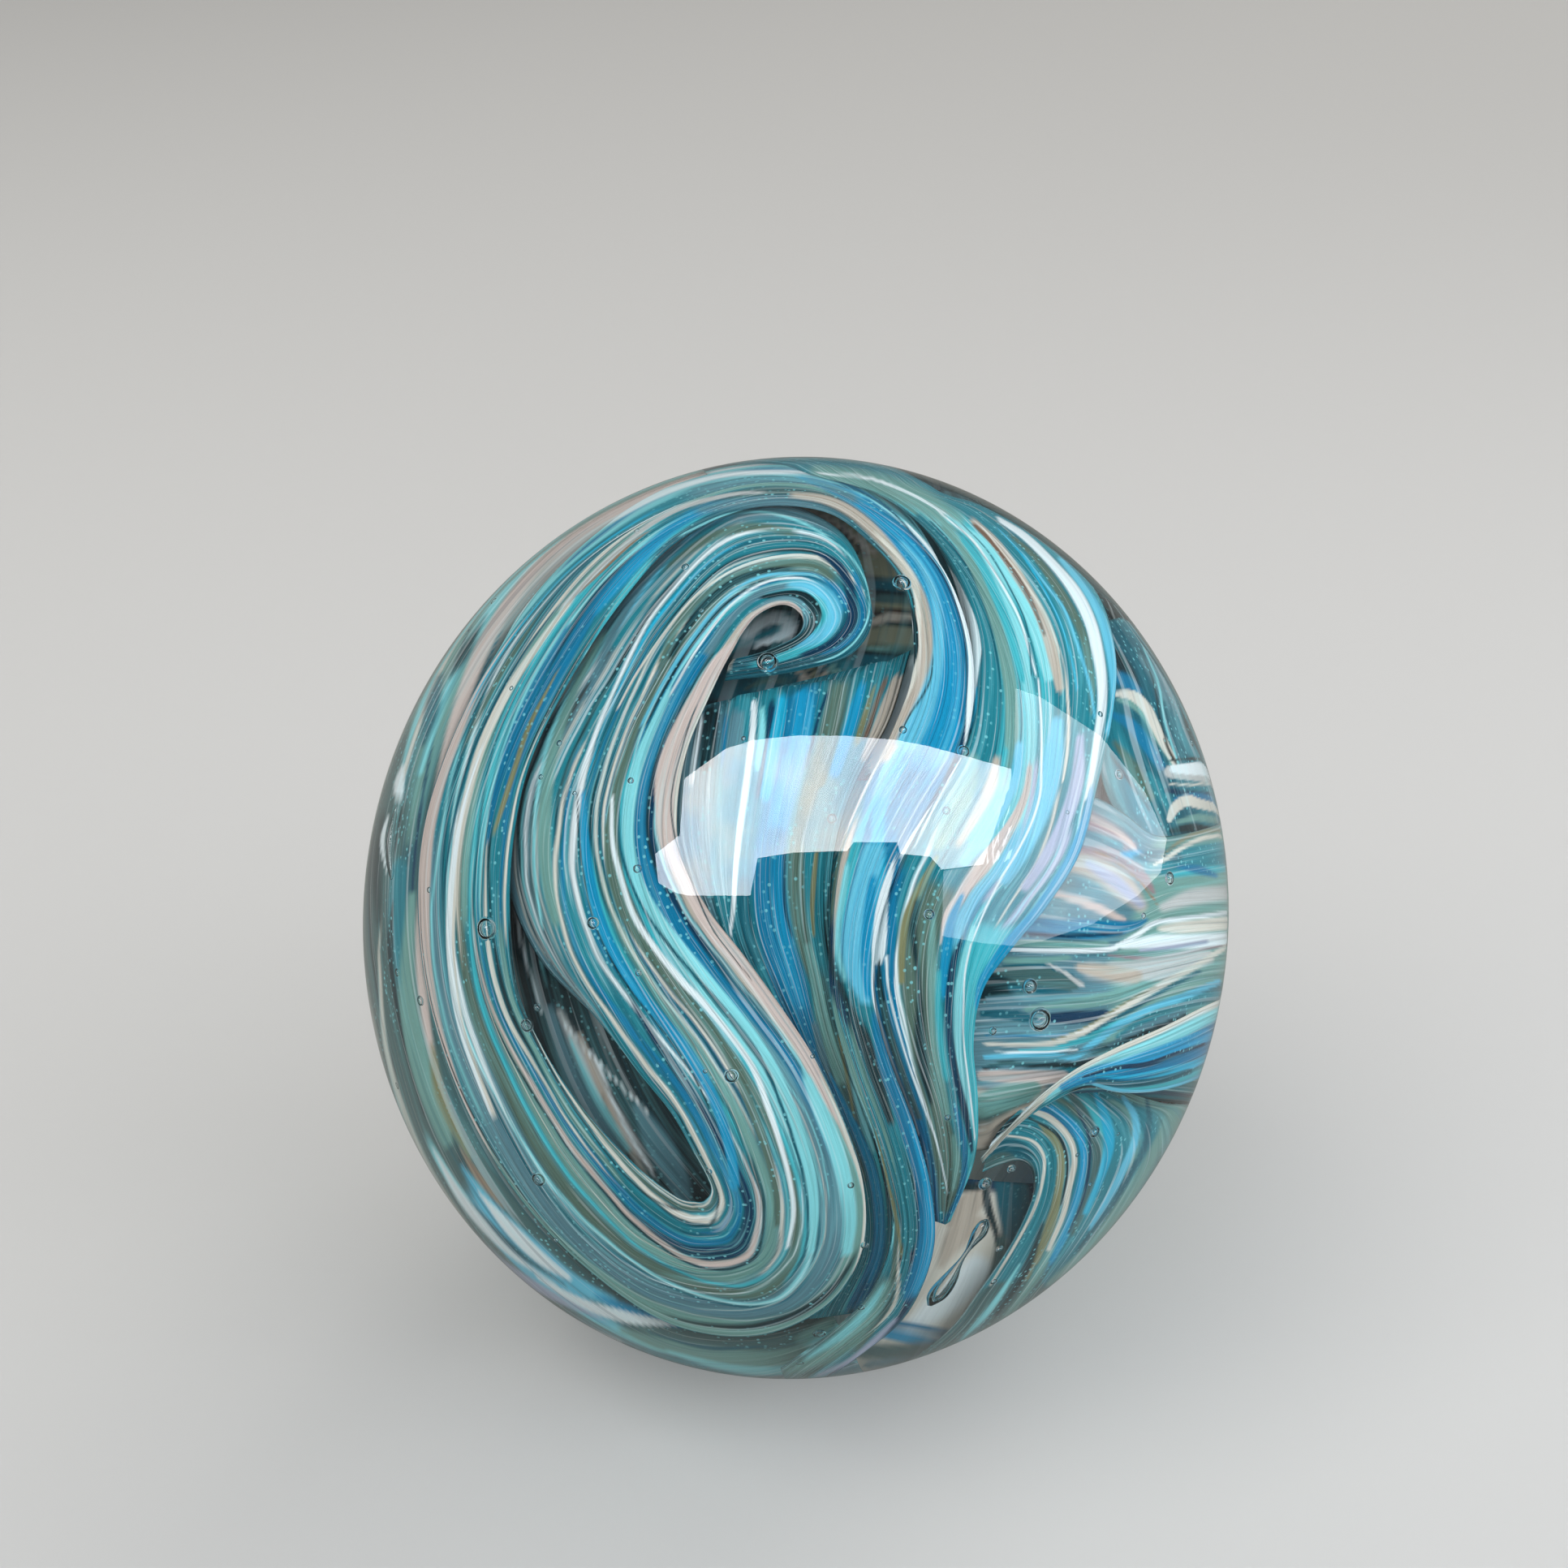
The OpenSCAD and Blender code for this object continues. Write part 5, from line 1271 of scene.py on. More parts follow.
FIN_LINES = guides("""
12.9,-16.2 14.9,-14 17,-11.9 19.4,-10.1 22.4,-8.5 25.6,-7.1 28.6,-5.6 31,-4.6 32.4,-4
13,-16.6 15.2,-14.2 17.6,-12.5 20.2,-11.4 22.9,-11.7 25.6,-11.5 28.2,-10.6 30.4,-9 31.4,-8.4
""")
FIN_STRANDS = """
cream~.1 0:0-.9 2:0-.6 3:0-.3 4:0-.14 6:0-.12 8:0-.14
white~.06 1:.1-.3 2.4:.06-.2 4:.02-.1 6:.0-.08
pale~.1 2:.4-.8 3:.2-.5 4:.12-.34 6:.1-.3 8:.12-.3
blue~.12 3:.4-.8 4:.34-.9 5:.34-.7 6:.3-.8 8:.3-.8
cyan~.05 3.6:.78-.86 5:.74-.84 6.4:.7-.8
turquoise~.06 4:.86-.95 6:.85-.95 8:.84-.95
dark~.04 2.6:.8-1 4:.95-1 5:.97-1
"""

FIN_STROKES = """
cream~.1 13.6,-15.8,.2 15,-14.2,.3 16.4,-12.9,.35 17.6,-11.6,.4 19,-10.5 20.4,-9.6 22,-8.85
  23.6,-8.15 25,-7.5 27,-6.5,.35 29.4,-5.3,.3
azure~.2 18.6,-11.3,.5 20.6,-10.4,.9 22.6,-9.9,1 24.4,-9.3 26.6,-8.5 28.6,-7.7,.9
navy~.1 20,-10.6,.15 22,-10,.3 24.4,-9.7,.35 26.4,-9,.3 28.4,-8.3,.2
cyan~.1 21,-10.5,.15 23,-10.6,.25 25.6,-10.1 28,-9.5,.2
deep~.12 21,-10.9,.4 23,-11.1,.5 25.4,-10.8 27.4,-10.2,.4
sky~.1 20.8,-11.1,.2 22.4,-11.55,.35 24,-11.65 25.6,-11.45 27.4,-10.9 29.4,-9.8,.3
"""

ARCH_LINES = guides("""
13,-17.2 14.2,-16.7 15.5,-16.4 16.4,-17 16.5,-18.6 15.8,-20.6 14.6,-22.8 12.8,-25.4 10.4,-28.4
  5,-32.5
13.6,-15.2 14.9,-14.6 16.4,-14.9 17.4,-16.2 17.4,-18.4 16.6,-20.8 15.3,-23.2 13.6,-25.8 11.2,-28.8
  5.4,-33
14.8,-13.6 16.4,-13.3 18,-14 19,-15.6 18.9,-18.2 17.9,-21 16.3,-23.8 14.4,-26.6 12,-29.2 5.8,-33.6
17.2,-11.8 18.6,-12.8 20,-14.2 20.9,-16 20.4,-18.6 19.2,-21.4 17.4,-24.2 15.2,-27 12.8,-29.8
  6.2,-34
20.4,-11.4 22,-12.4 23.5,-13.8 23.8,-16 22.6,-18.8 20.6,-21.8 18.4,-24.6 16,-27.6 13.6,-30.4
  6.6,-34.5
23,-11.6 25.6,-12.4 28.5,-13 28.8,-17.4 26.4,-21.2 23.4,-25 20,-28 17.4,-30 14.6,-31.6 7,-35
""")
ARCH_STRANDS = """
teal~.06 0:0-.3 2:0-.3 5:0-.3
gold~.04 2:.3-.37 4:.29-.36 5:.32-.39 6:.38-.45 7:.46-.52
blue~.04 0:.48-.56 1.6:.47-.53 3:.49-.53 4.4:.49-.53 6:.56-.6
olive~.04 .4:.62-.66 2:.62-.66 4:.6-.63
turquoise~.04 .4:.67-.74 2:.66-.73 4:.63-.72 5.4:.64-.72
sage~.03 .8:.8-.83 2:.785-.81 4:.77-.79
sage~.06 0:.88-1 2:.88-1 3.4:.86-1
grey~.12 4:.86-1 6:.6-1 7:0-1 9:0-1
sage~.08 5.4:.46-.56 7:.5-.6 8.4:.5-.64
"""
ARCH_STROKES = """
deep~.4 12.6,-15.4,1 14,-15.4,1.6 15.6,-16 16,-17.4,.8
grey~.3 13.4,-16.6,.8 14.6,-16.3,1 15.6,-16.9,.6
white~.1 13,-15.9,.1 14.4,-14.5,.2 16,-13,.25 17.4,-11.9 19,-10.8,.2
dark~.15 12.8,-15.8,.2 13.6,-14.9,.35 15.2,-13.6,.4 16.4,-12.9,.2
dark~.2 13,-20.8,.3 13,-19,.6 13.6,-18,.7 15,-17.1 16,-16.6,.6 16.5,-17.4 16.4,-18.6,.5
  16,-19.8,.3
cream~.1 14.4,-14.6,.1 16.4,-15,.2 17.2,-15.9,.22 17.3,-17 17,-18.6 16.4,-20.2,.2 15.2,-22.4
  13.6,-25,.15
teal~.2 15.6,-14,.3 17.2,-14.8,.4 17.9,-16,.45 17.9,-17.4 17.4,-19.4 16.6,-21.2,.4
cream~.12 15.8,-12.8,.2 17.6,-13.4,.45 19,-14.8 19.4,-16.4,.4 19,-18.4 18.6,-20.2,.35
  17.6,-22.6,.3
gold~.12 17,-13.9,.2 18.2,-15.2,.4 18.5,-17,.45 18.3,-18.6 17.9,-20.8,.4 16.8,-23.4,.3
dark~.1 15.8,-13.2,.15 18,-14.4,.25 18.8,-15.8 18.9,-17.4,.2 18.5,-19.4,.15
azure~.15 17.8,-12.7,.3 19.4,-14,.5 20,-15.6 19.9,-17.6 19.4,-19.6 18.8,-21.4 17.8,-23.4,.4
grey~.3 18.6,-11.2,.4 20,-13,.7 20.8,-15 20.9,-17 20.4,-19 19.4,-21.4,.6
navy~.1 19.6,-12.9,.1 20.4,-14.8,.2 20.4,-17 19.9,-19.2 19,-21.4,.15
teal~.25 20.6,-11.6,.6 21.8,-13.4,1.1 22,-15.4,1.2 21.6,-17.6 20.8,-20,1.1 19.6,-22.2,1
  17.6,-24.8,.8
cyan~.2 20.9,-11.8,.3 21.6,-13.6,.7 21.8,-15.4 21.2,-17.6,.5 20.2,-20,.4
sky~.15 22.8,-12,.3 23.6,-13.4,.5 23.6,-15 22.8,-17 21.9,-18.8 20.6,-21,.4
deep~.12 24.4,-12,.2 24.6,-13.6,.4 24.2,-15.6 23.2,-17.4,.45 21.8,-19.8 19.8,-22.6,.4
sage~.3 26.6,-11.6,.5 25.8,-14,.7 24.4,-16.8,.8 22.8,-19.4 20.6,-22.4 17.8,-25,.6
dark~.3 17.2,-20.8,.2 16,-24,.6 14,-27,.3
pale~.2 15.6,-23.6,.1 13.6,-26.6,.4 11.4,-29,.1
"""

CREST_LINES = guides("""
19.4,20.5 20.4,16.5 20.8,12.5 21.6,9 23.6,5.4
21.4,21 23.4,16.8 24.6,12.9 25.8,9.4 27,5.6
23.4,21.5 26.4,17.2 28,13.2 29.2,10 30.2,6.2
25.5,22 29.5,17.5 31.5,13.5 32.5,11 33,7
""")
CREST_STRANDS = """
teal~.2 0:0-1 4:0-1
deep~.1 0:.1-.5 1:.15-.6 2:.2-.5 4:.2-.5
grey~.1 0:.7-1 1:.7-1 2:.74-1 4:.8-1
olive~.06 1:.86-.92 2:.84-.9 3:.84-.9
"""
CREST_STROKES = """
dark~.5 20.6,19.4,.5 22,18.6,1.2 23,17.6,1 23.8,16.4,.4
dark~.4 23.6,20.4,.1 25.6,18.2,.4 27,15.8,.2
blue~.4 21.8,17.4,.3 22.8,17,.9 23.8,16.2,.5
slate~.3 24,18.6,.3 25.2,17,.8 25.9,15,.3
deep~.3 25.6,15.4,.3 26,13.6,.9 26.8,11.8 27.8,11,.5
blue~.3 22,14.6,.4 23.4,13.8,.8 24.6,12.2 25.4,11,.6
cyan~.25 21.8,16.1,.2 23,15.9,.3 24,15.2,.2
sage~.2 22.4,15.6,.2 23.4,15.3,.5 24.3,14.5 25.1,13.1 25.9,11.8,.4 26.3,10.9,.3
dark~.5 26.9,15.4,.3 27.6,13.4,.9 28.6,11.8,.6
cream~.12 22,16,.3 23.4,15.9,.7 24.4,15 25,13.8,.65 25.7,12.4,.6 26.4,11.2,.45
brown~.15 25.6,12.9,.1 26,12,.2 26.6,11
pale~.12 24.2,19.2,.08 25.2,16.8,.14 25.7,14 26.6,11.2,.1
dark~.12 23.9,19.2,.06 24.9,16.8,.1 25.4,14 26.2,11.4,.06
olive~.4 22.2,12.6,.3 23.4,11,.8 24.6,9,.9
dark~.25 21.9,11.8,.1 23.2,10,.3 24.6,8,.2
teal~.4 24.6,10.4,.4 25.4,9.2,.9 26,8.2,.5
navy~.2 25.8,9.3,.3 27.4,9.1,.4 29,9,.3
mist~.15 26.1,10.6,.9 27.4,10.6,1.2 28.9,10.5,1.3 31,10.4,1.2
white~.12 26.3,10.8,.6 28,10.8,.9 29.6,10.8
dark~.08 25.8,11.4,.1 27.4,11.5,.2 29,11.4
cream~.15 26,9.75,.1 27.4,9.7,.15 29,9.8
blue~.25 26.4,8.7,.3 28,8.9,.5 29.8,8.4,.4
cream~.12 26,7.3,.4 26.4,8.1,.7 27.2,8.6,.8 28,8.4,.7 29.4,8.1,.6 31,8,.4
sage~.2 26.6,7.1,.3 28,7.4,.5 29.4,7.2,.4
dark~.2 26.2,6.5,.4 27.6,6.7,.6 29,6.6,.3
sage~.3 28.6,15.8,.2 29.4,13.6,.5 29.9,12,.2
"""

# ---- The folds deep in the ball, the pocket and the hidden side ----

INNER_LINES = [
    guides("""
-9,31 -8,24 -10,17 -12,10
13,30 15,22 13,15 9,10
"""),
    guides("""
-23,6 -23,-4 -19,-15 -10,-23
-11,8 -9,-2 -5,-11 0,-20
"""),
    guides("""
17,24 16,14 13,2 13,-12
25,22 31,12 32,-2 29,-14
"""),
]
# The broad deep stroke under the curled head is painted shade.
# The white stroke by the long ribbon's right edge and the white ring in the head's eye are painted
# light: laid whiter than the glass, so that these shaded hollows render pale grey.
INNER_STROKES = """
teal~1 5,31,1.6 8,29,3 10.6,26,3.6 12.4,22 13,18,3
deep~.3 9.4,27.4,.3 11,24.6,.5 12,21.6
moss~.6 -3,28.8,.5 .4,28.8,.9 3,27.8,1.4 5.4,26,1.6 6.6,24.6,1.4
beige~.15 -2,28.9,.1 1,28.7,.3 3.2,27.6,.4 5.2,26 6.6,24.4,.3
brown~.12 -1,28.5,.1 1.6,28,.25 3.6,26.9,.3 5.2,25.4,.25
moss~.5 4.4,25,.8 6,24.9,1.6 8,24.8,1.4
deep~.25 4.4,23.6,.5 6.4,23.6,.8 8.6,23.4,.5
grey~.2 4.6,22.5,.4 6.4,22.5,.7 8.8,22.4,.4
moss~.2 4.8,22.1,.2 6.4,22.1,.5 8.4,22.1,.3
beige~.25 4.6,20.6,.2 6,21.2,.6 7.6,21.4 9.4,21.2,.3
brown~.15 4.8,21.6,.1 6.6,21.75,.3 8.6,21.8,.2
moss~.4 3.4,19.6,.6 5.4,20,1.2 7.4,20,1.4 9.4,19.6,.8
sage~.15 4.4,19.1,.1 6.4,19.2,.3 8.6,19,.2
deep~.3 2,17.8,.8 4,18.2,1 6,18.1 8.4,17.8,.8
teal~.3 4,17,.3 6,17.4,.5 8,17,.3
deep~.8 -6,16.6,1.6 -4,16.6,2.2 -2,16.8 0,17.2,1.6
slate~.4 -4.4,17.8,.2 -2.8,17.8,.5 -1,18,.2
olive~.4 -3.4,16.4,.1 -2,16.9,.3 -.4,16.9,.2
beige~.25 .2,17.8,.3 .9,16.6,.7 1.2,15.4
moss~.2 1.2,17.8,.3 1.7,16.6,.6 2,15.6
beige~.15 1.9,17.9,.2 2.3,16.8,.45 2.6,15.8,.4
sage~.2 2.5,18,.3 3,17,.6 3.4,16,.5
teal~.3 3.4,18,.6 4.2,17,1.4 4.8,16,1.2
white~.3 8.4,18.6,.4 7.9,17,1.2 7.1,15,1.5 6.4,13,1.4 5.6,11,1
teal~.5 -5.4,18.6,.8 -4.2,19.8,1.4 -3,20.4,1.8 -1.6,20.9,2 -.8,20.8,1.6
slate~.25 -3.6,20,.4 -2.2,20.9,.7 -1,21.4 -.2,20.9,.5 -.7,20.2 -2,19.8,.4 -3.4,19.4,.2
white~.4 -3.4,20,.5 -2.4,20.8,.9 -1.2,21.2,1 -.4,20.6,.8 -1.2,19.8,.7 -2.6,19.4,.4
deep~.2 -2.8,20,.1 -1.8,20.6,.3 -1,20.6,.2
dark~.12 -4.4,18.4,.3 -3,18.9,.4 -1.6,19.3 -.6,19.8,.2
pale~.15 -18.4,8,.1 -18.6,2,.2 -17.2,-4,.1
white~.15 -19.2,6,.1 -19.2,0,.2 -17.6,-6,.1
slate~.6 -17,-6,.6 -15.6,-10,1.2 -13.6,-14,1.4 -11,-17.4,1
mist~.5 -16.4,-6,.3 -14.4,-10,.8 -12,-14 -10,-17,.3
beige~.3 -15,-7.5,.2 -13.6,-11,.5 -11.8,-15 -10,-18,.2
brown~.25 -13.4,-12,.1 -12.4,-14.4,.4 -11.2,-16.6,.1
pale~.4 -15.6,-8,.2 -13.8,-12,.5 -11.6,-15.6,.3
slate~.5 -11,-12.6,.6 -9.4,-15.4,1.8 -8,-18,1.4 -7.6,-20,.6
white~.15 -14,-9,.1 -12,-13.6,.2 -9.6,-17.8,.1
white~.1 -16,-7,.1 -14,-9.2,.16 -12,-11.3 -10,-13.2,.1
"""

POCKET_LINES = guides("""
10,-17.5 7,-24 2,-31
13.5,-17.8 12,-24.5 7.5,-32.5
17,-18 17,-25 13,-34
""")
POCKET_STROKES = """
white~1 8,-28,1 10.6,-26,2 12.6,-24
navy~.5 10,-17,2 14,-17,3.2 17,-18,3
dark~.8 15.4,-18.4,1 15.2,-21,1.6 14.6,-23,1
beige~.4 10.8,-20.8,.5 11.8,-19.8,1.6 12.6,-19,1.4 13,-18.4,1
beige~.6 10.2,-23.6,.5 11,-22,1.4 12,-21,1.6 13.4,-20.8,.8
dark~.3 9.4,-17.6,.8 11.4,-18.2,.7 12.8,-18.2,.5
deep~.4 14.8,-17,2 15.2,-19.4,2.4 15.2,-21.6,1.4
dark~.2 13.2,-17.8,.4 13.4,-19.6,.6 13.9,-21.2,.4 14.1,-22.6,.3
grey~.4 14.4,-22,.8 13.8,-24.4 12.4,-26.8
blue~.3 6,-27.6,.4 8.4,-27.9,.5 10.6,-28.4,.4
azure~.3 5,-28,.6 7.4,-28.6,.8 10,-29,.5
grey~.6 4,-29.6,1 8,-29.8,1.4 12,-29.6,1.6
slate~.4 5,-30.6,.5 7,-30.4,.6 9,-30.2,.5
white~.2 5,-31.3,.2 6.4,-31.1,.5 8.6,-30.7,.3
"""

BACK_LINES = [
    guides("""
-17,29.5 -14.4,25 -9,16.5 -3,4 5,-8 15.5,-19.5 19,-23.4 21.6,-26
0,34 2,29.6 6.5,19 10.5,6 18,-3.5 25.2,-11.2 27.6,-13 29,-14
"""),
    guides("""
2.6,34 5,29.4 10,19.5 14.5,8 21.5,-1 26.8,-7.6 29.8,-11.2
13.6,30 17.5,27 25,20.5 30,10.5 31.4,2.5 31.6,-3 31.4,-6.6
"""),
    guides("""
-19.8,27.4 -17,23.4 -12,14.5 -6.5,2 1.5,-10.5 11.6,-22.8 16.6,-28.6
-26.6,18.8 -28.4,14.8 -30.8,5 -29.8,-10.5 -22.6,-23.5 -8.6,-32.2 4.4,-33.6
"""),
]
BACK_STRANDS = """
turquoise~.08 0:.04-.2 3:.06-.22 7:.05-.2
cream~.03 0:.2-.26 2:.24-.3 4:.22-.27 7:.2-.25
dark 0:.26-.275 3:.3-.315 7:.26-.27
blue~.04 0:.3-.42 2:.32-.46 5:.3-.42 7:.3-.38
cyan~.03 1:.36-.39 3:.38-.41 6:.34-.36
olive~.05 0:.46-.56 3:.48-.6 7:.44-.54
white~.02 0:.6-.62 3:.62-.65 5:.6-.62 7:.58-.6
deep~.04 0:.64-.7 3:.68-.74 7:.62-.68
sage~.06 0:.74-.84 3:.78-.88 7:.72-.84
navy~.03 0:.86-.89 3:.9-.93 7:.86-.9
pink~.03 0:.92-.97 4:.95-.99 7:.92-.96
"""

# ---- Air bubbles ----

# Place as seen and diameter in mm
BUBBLES = [
    (-21.4, -0.3, 1.5), (-1.9, 18.2, 1.3), (17, -6.6, 1.5), (7.4, 23.7, 1.2), (-18.6, -7, 0.9),
    (-14, 0.1, 0.8), (-4.4, -10.5, 0.9), (-17.8, -17.7, 1), (26, 3.2, 0.9), (20.8, -14.4, 0.8),
]
SMALL_BUBBLES = [
    (16.3, -4.3, 1.0), (11.7, 12, 0.8), (13.2, -18, 0.9), (-26, -5.3, 0.7), (1.7, -28.4, 0.9),
    (4.6, -26.6, 0.5), (22.5, 10.4, 0.7), (21.2, 14.6, 0.4), (24.2, 0.6, 0.4), (10.5, 7.9, 0.5),
    (9.3, 0.7, 0.7), (-25.4, 2.4, 0.4), (-15.3, 9.1, 0.3), (-16.6, -21.9, 0.4),
    (19.6, -16, 0.3), (10.6, -13.4, 0.4), (13.8, -24.8, 0.5), (-6.5, 21.8, 0.3), (7.5, 13.5, 0.5),
]
# Long bubbles: place as seen and diameter at some stations
LONG_BUBBLES = (
    [(13.3, -20.5, 0.3), (13.1, -20.8, 0.9), (12.8, -21.4, 1.15), (12.4, -22, 0.8),
     (12, -22.6, 0.4), (11.6, -23.2, 0.4), (11.2, -23.8, 0.7), (10.7, -24.6, 1.3),
     (10.2, -25.3, 1.6), (9.8, -25.9, 1.4), (9.4, -26.4, 0.5)],
    [(-27.7, 8.1, 0.3), (-27.8, 7.6, 0.8), (-28, 6.6, 1.2), (-28.1, 5.6, 1.3), (-28.1, 4.6, 1.2),
     (-28, 3.6, 0.8), (-28, 3.1, 0.3)],
)


# ---- Operators ----


class Maker(bpy.types.Operator):
    """What all the marble's operators share."""

    bl_options = {"REGISTER", "UNDO"}

    def tools(self, context):
        """The ball, the sizes and the tones as light."""
        sizes = context.scene.marble_sizes
        colours = context.scene.marble_colours
        names = MarbleColours.__annotations__
        tones = {name: linear(getattr(colours, name)) for name in names}
        return Ball(sizes), sizes, tones


class MARBLE_OT_clear_glass(Maker):
    """The clear glass: a fine egg-shaped skin over all that lies in it"""

    bl_idname = "marble.clear_glass"
    bl_label = "Clear glass"

    def execute(self, context):
        ball, *_ = self.tools(context)
        points, faces = ball_grid(rows=144, columns=288)
        tilt = np.array(
            [[np.cos(ball.lean), 0, np.sin(ball.lean)], [0, 1, 0],
             [-np.sin(ball.lean), 0, np.cos(ball.lean)]]
        )
        skin = (points * [ball.half_w, ball.half_w, ball.half_h]) @ tilt.T
        glass = clear_glass_material("clear_glass")
        new_piece("clear_ball", skin, faces, glass, ("clear_glass",))
        return {"FINISHED"}


class MARBLE_OT_bubbles(Maker):
    """Air bubbles: small spheres of air whose places are drawn as seen, and tiny ones all round"""

    bl_idname = "marble.bubbles"
    bl_label = "Air bubbles"

    def execute(self, context):
        ball, sizes, _ = self.tools(context)
        rng = np.random.default_rng(7)
        spots = np.array(BUBBLES + SMALL_BUBBLES)
        centres = ball.placed(spots[:, 0], spots[:, 1], BUBBLE_DEPTH)
        count = 70
        facing = unit(rng.normal(size=(count, 3)))
        deep = rng.uniform(0.955, 0.985, count)
        centres = np.vstack([centres, deep[:, None] * ball.stretched(facing)])
        across = np.concatenate([spots[:, 2], sizes.seed_size * rng.uniform(0.6, 1.5, count)])
        points, faces = ball_grid(rows=12, columns=20)
        every = centres[:, None] + points[None] * across[:, None, None] / 2
        shift = (np.arange(len(across)) * len(points))[:, None, None]
        sets = [(f[None] + shift).reshape(-1, f.shape[1]) for f in faces]
        air = clear_glass_material("air_in_glass", 1 / Ball.ior)
        new_piece("air_bubbles", every.reshape(-1, 3), sets, air, ())
        for number, rows in enumerate(LONG_BUBBLES):
            points, faces = self.drop(ball, np.array(rows))
            new_piece("long_bubble_" + str(number + 1), points, faces, air, ())
        return {"FINISHED"}

    def drop(self, ball, rows, rings=40, columns=24):
        """A closed tube along the eased path: the circle at each ring stands across the path."""
        path = eased(np.arange(len(rows)), rows, np.linspace(0, len(rows) - 1, rings))
        centre = ball.placed(path[:, 0], path[:, 1], LONG_BUBBLE_DEPTH)
        along = unit(np.gradient(centre, axis=0))
        out = unit(centre - (centre * along).sum(-1)[:, None] * along)
        side = np.cross(along, out)
        turn = np.linspace(0, 2 * np.pi, columns, endpoint=False)[None, :, None]
        round_it = np.cos(turn) * out[:, None] + np.sin(turn) * side[:, None]
        circles = centre[:, None] + round_it * path[:, None, 2:] / 2
        points = np.vstack([circles.reshape(-1, 3), centre[:1], centre[-1:]])
        index = np.arange(rings * columns).reshape(rings, columns)
        beside = np.roll(index, -1, axis=1)
        first, last = np.full(columns, len(points) - 2), np.full(columns, len(points) - 1)
        caps = [(first, index[0], beside[0]), (last, beside[-1], index[-1])]
        return points, [rows_of_quads(index, beside)] + [np.stack(c, -1) for c in caps]


class MARBLE_OT_long_ribbon(Maker):
    """The long ribbon: a curled head, an inner leg, a loop, an outer leg, over the top and down"""

    bl_idname = "marble.long_ribbon"
    bl_label = "Long ribbon"

    def execute(self, context):
        ball, sizes, tones = self.tools(context)
        sheet = Sheet(LONG_LINES, LONG_LAPS, steps=9, columns=190, back=14)
        paint = sheet.paint(tones, "teal", 11)
        paint.strands(LONG_STRANDS)
        paint.hairs(80, HAIR_TONES)
        paint.strokes(LONG_STROKES + EDGE_STROKES)
        sheet.piece(
            "folded_ribbon", ball, paint.colour, coloured_glass("long_ribbon_glass", tones),
            UPPER_DEPTH, sizes.ribbon_t, relief=sizes.relief, sinks=(0.03, 0), seed=3,
        )
        return {"FINISHED"}


class MARBLE_OT_veil(Maker):
    """The veil over the top and the curtain behind it"""

    bl_idname = "marble.veil"
    bl_label = "Veil and curtain"

    def execute(self, context):
        ball, sizes, tones = self.tools(context)
        sheet = Sheet(VEIL_LINES, VEIL_LAPS, steps=14, columns=190, back=15)
        paint = sheet.paint(tones, "teal", 12)
        paint.strands(VEIL_STRANDS)
        paint.hairs(30, HAIR_TONES, 7.0)
        paint.strokes(VEIL_STROKES + EDGE_STROKES)
        sheet.piece(
            "veil", ball, paint.colour, coloured_glass("veil_glass", tones, fine=60.0),
            UPPER_DEPTH, sizes.ribbon_t, relief=sizes.relief, sinks=(0, 0.02), seed=4,
        )
        sheet = Sheet(CURTAIN_LINES, steps=12, columns=150, back=12).scalloped(7, 0.9)
        paint = sheet.paint(tones, "teal", 13)
        paint.strands(CURTAIN_STRANDS)
        paint.strokes(CURTAIN_STROKES + EDGE_STROKES)
        sheet.piece(
            "curtain", ball, paint.colour, coloured_glass("curtain_glass", tones, fine=60.0),
            UNDER_DEPTH, sizes.under_t, relief=sizes.relief, sinks=(0.02, 0), seed=5,
        )
        return {"FINISHED"}


class MARBLE_OT_flank(Maker):
    """The pale bands by the left rim and under the loop"""

    bl_idname = "marble.flank"
    bl_label = "Flank bands"

    def execute(self, context):
        ball, sizes, tones = self.tools(context)
        sheet = Sheet(FLANK_LINES, FLANK_LAPS, steps=14, columns=96, back=12)
        paint = sheet.paint(tones, "grey", 14)
        paint.strands(FLANK_STRANDS)
        paint.strokes(FLANK_STROKES)
        depth = eased(np.arange(len(FLANK_DEPTH)), FLANK_DEPTH, sheet.u[:, 0])[:, None]
        sheet.piece(
            "flank_bands", ball, paint.colour, coloured_glass("flank_glass", tones, fine=24.0),
            depth, sizes.ribbon_t, relief=sizes.relief, sinks=(0.02, 0.02), seed=6,
        )
        return {"FINISHED"}


class MARBLE_OT_side_folds(Maker):
    """The fan and fin on the right, the arches low on the right and the bands high on the right"""

    bl_idname = "marble.side_folds"
    bl_label = "Side folds"

    def execute(self, context):
        ball, sizes, tones = self.tools(context)
        upper, under = (UPPER_DEPTH, sizes.ribbon_t), (UNDER_DEPTH, sizes.under_t)
        no_laps = ((), ())
        made = (
            ("side_fan", FAN_LINES, FAN_LAPS, FAN_STRANDS, FAN_STROKES, "slate", *under,
             40.0, 16, (0, 0)),
            ("side_fin", FIN_LINES, no_laps, FIN_STRANDS, FIN_STROKES, "teal", *upper,
             16.0, 16, (0, 0)),
            ("corner_fold", ARCH_LINES, no_laps, ARCH_STRANDS, ARCH_STROKES, "teal", *under,
             40.0, 14, (0.03, 0)),
            ("crest_bands", CREST_LINES, no_laps, CREST_STRANDS, CREST_STROKES, "grey", *under,
             20.0, 26, (0, 0.04)),
        )
        for seed, row in enumerate(made):
            name, lines, laps, strands, strokes, ground, depth, thick, fine, steps, sinks = row
            sheet = Sheet(lines, laps, steps=steps, columns=140, back=12)
            paint = sheet.paint(tones, ground, 20 + seed)
            paint.strands(strands)
            paint.strokes(strokes)
            sheet.piece(
                name, ball, paint.colour, coloured_glass(name + "_glass", tones, fine=fine),
                depth, thick, relief=sizes.relief, sinks=sinks, seed=30 + seed,
            )
        return {"FINISHED"}


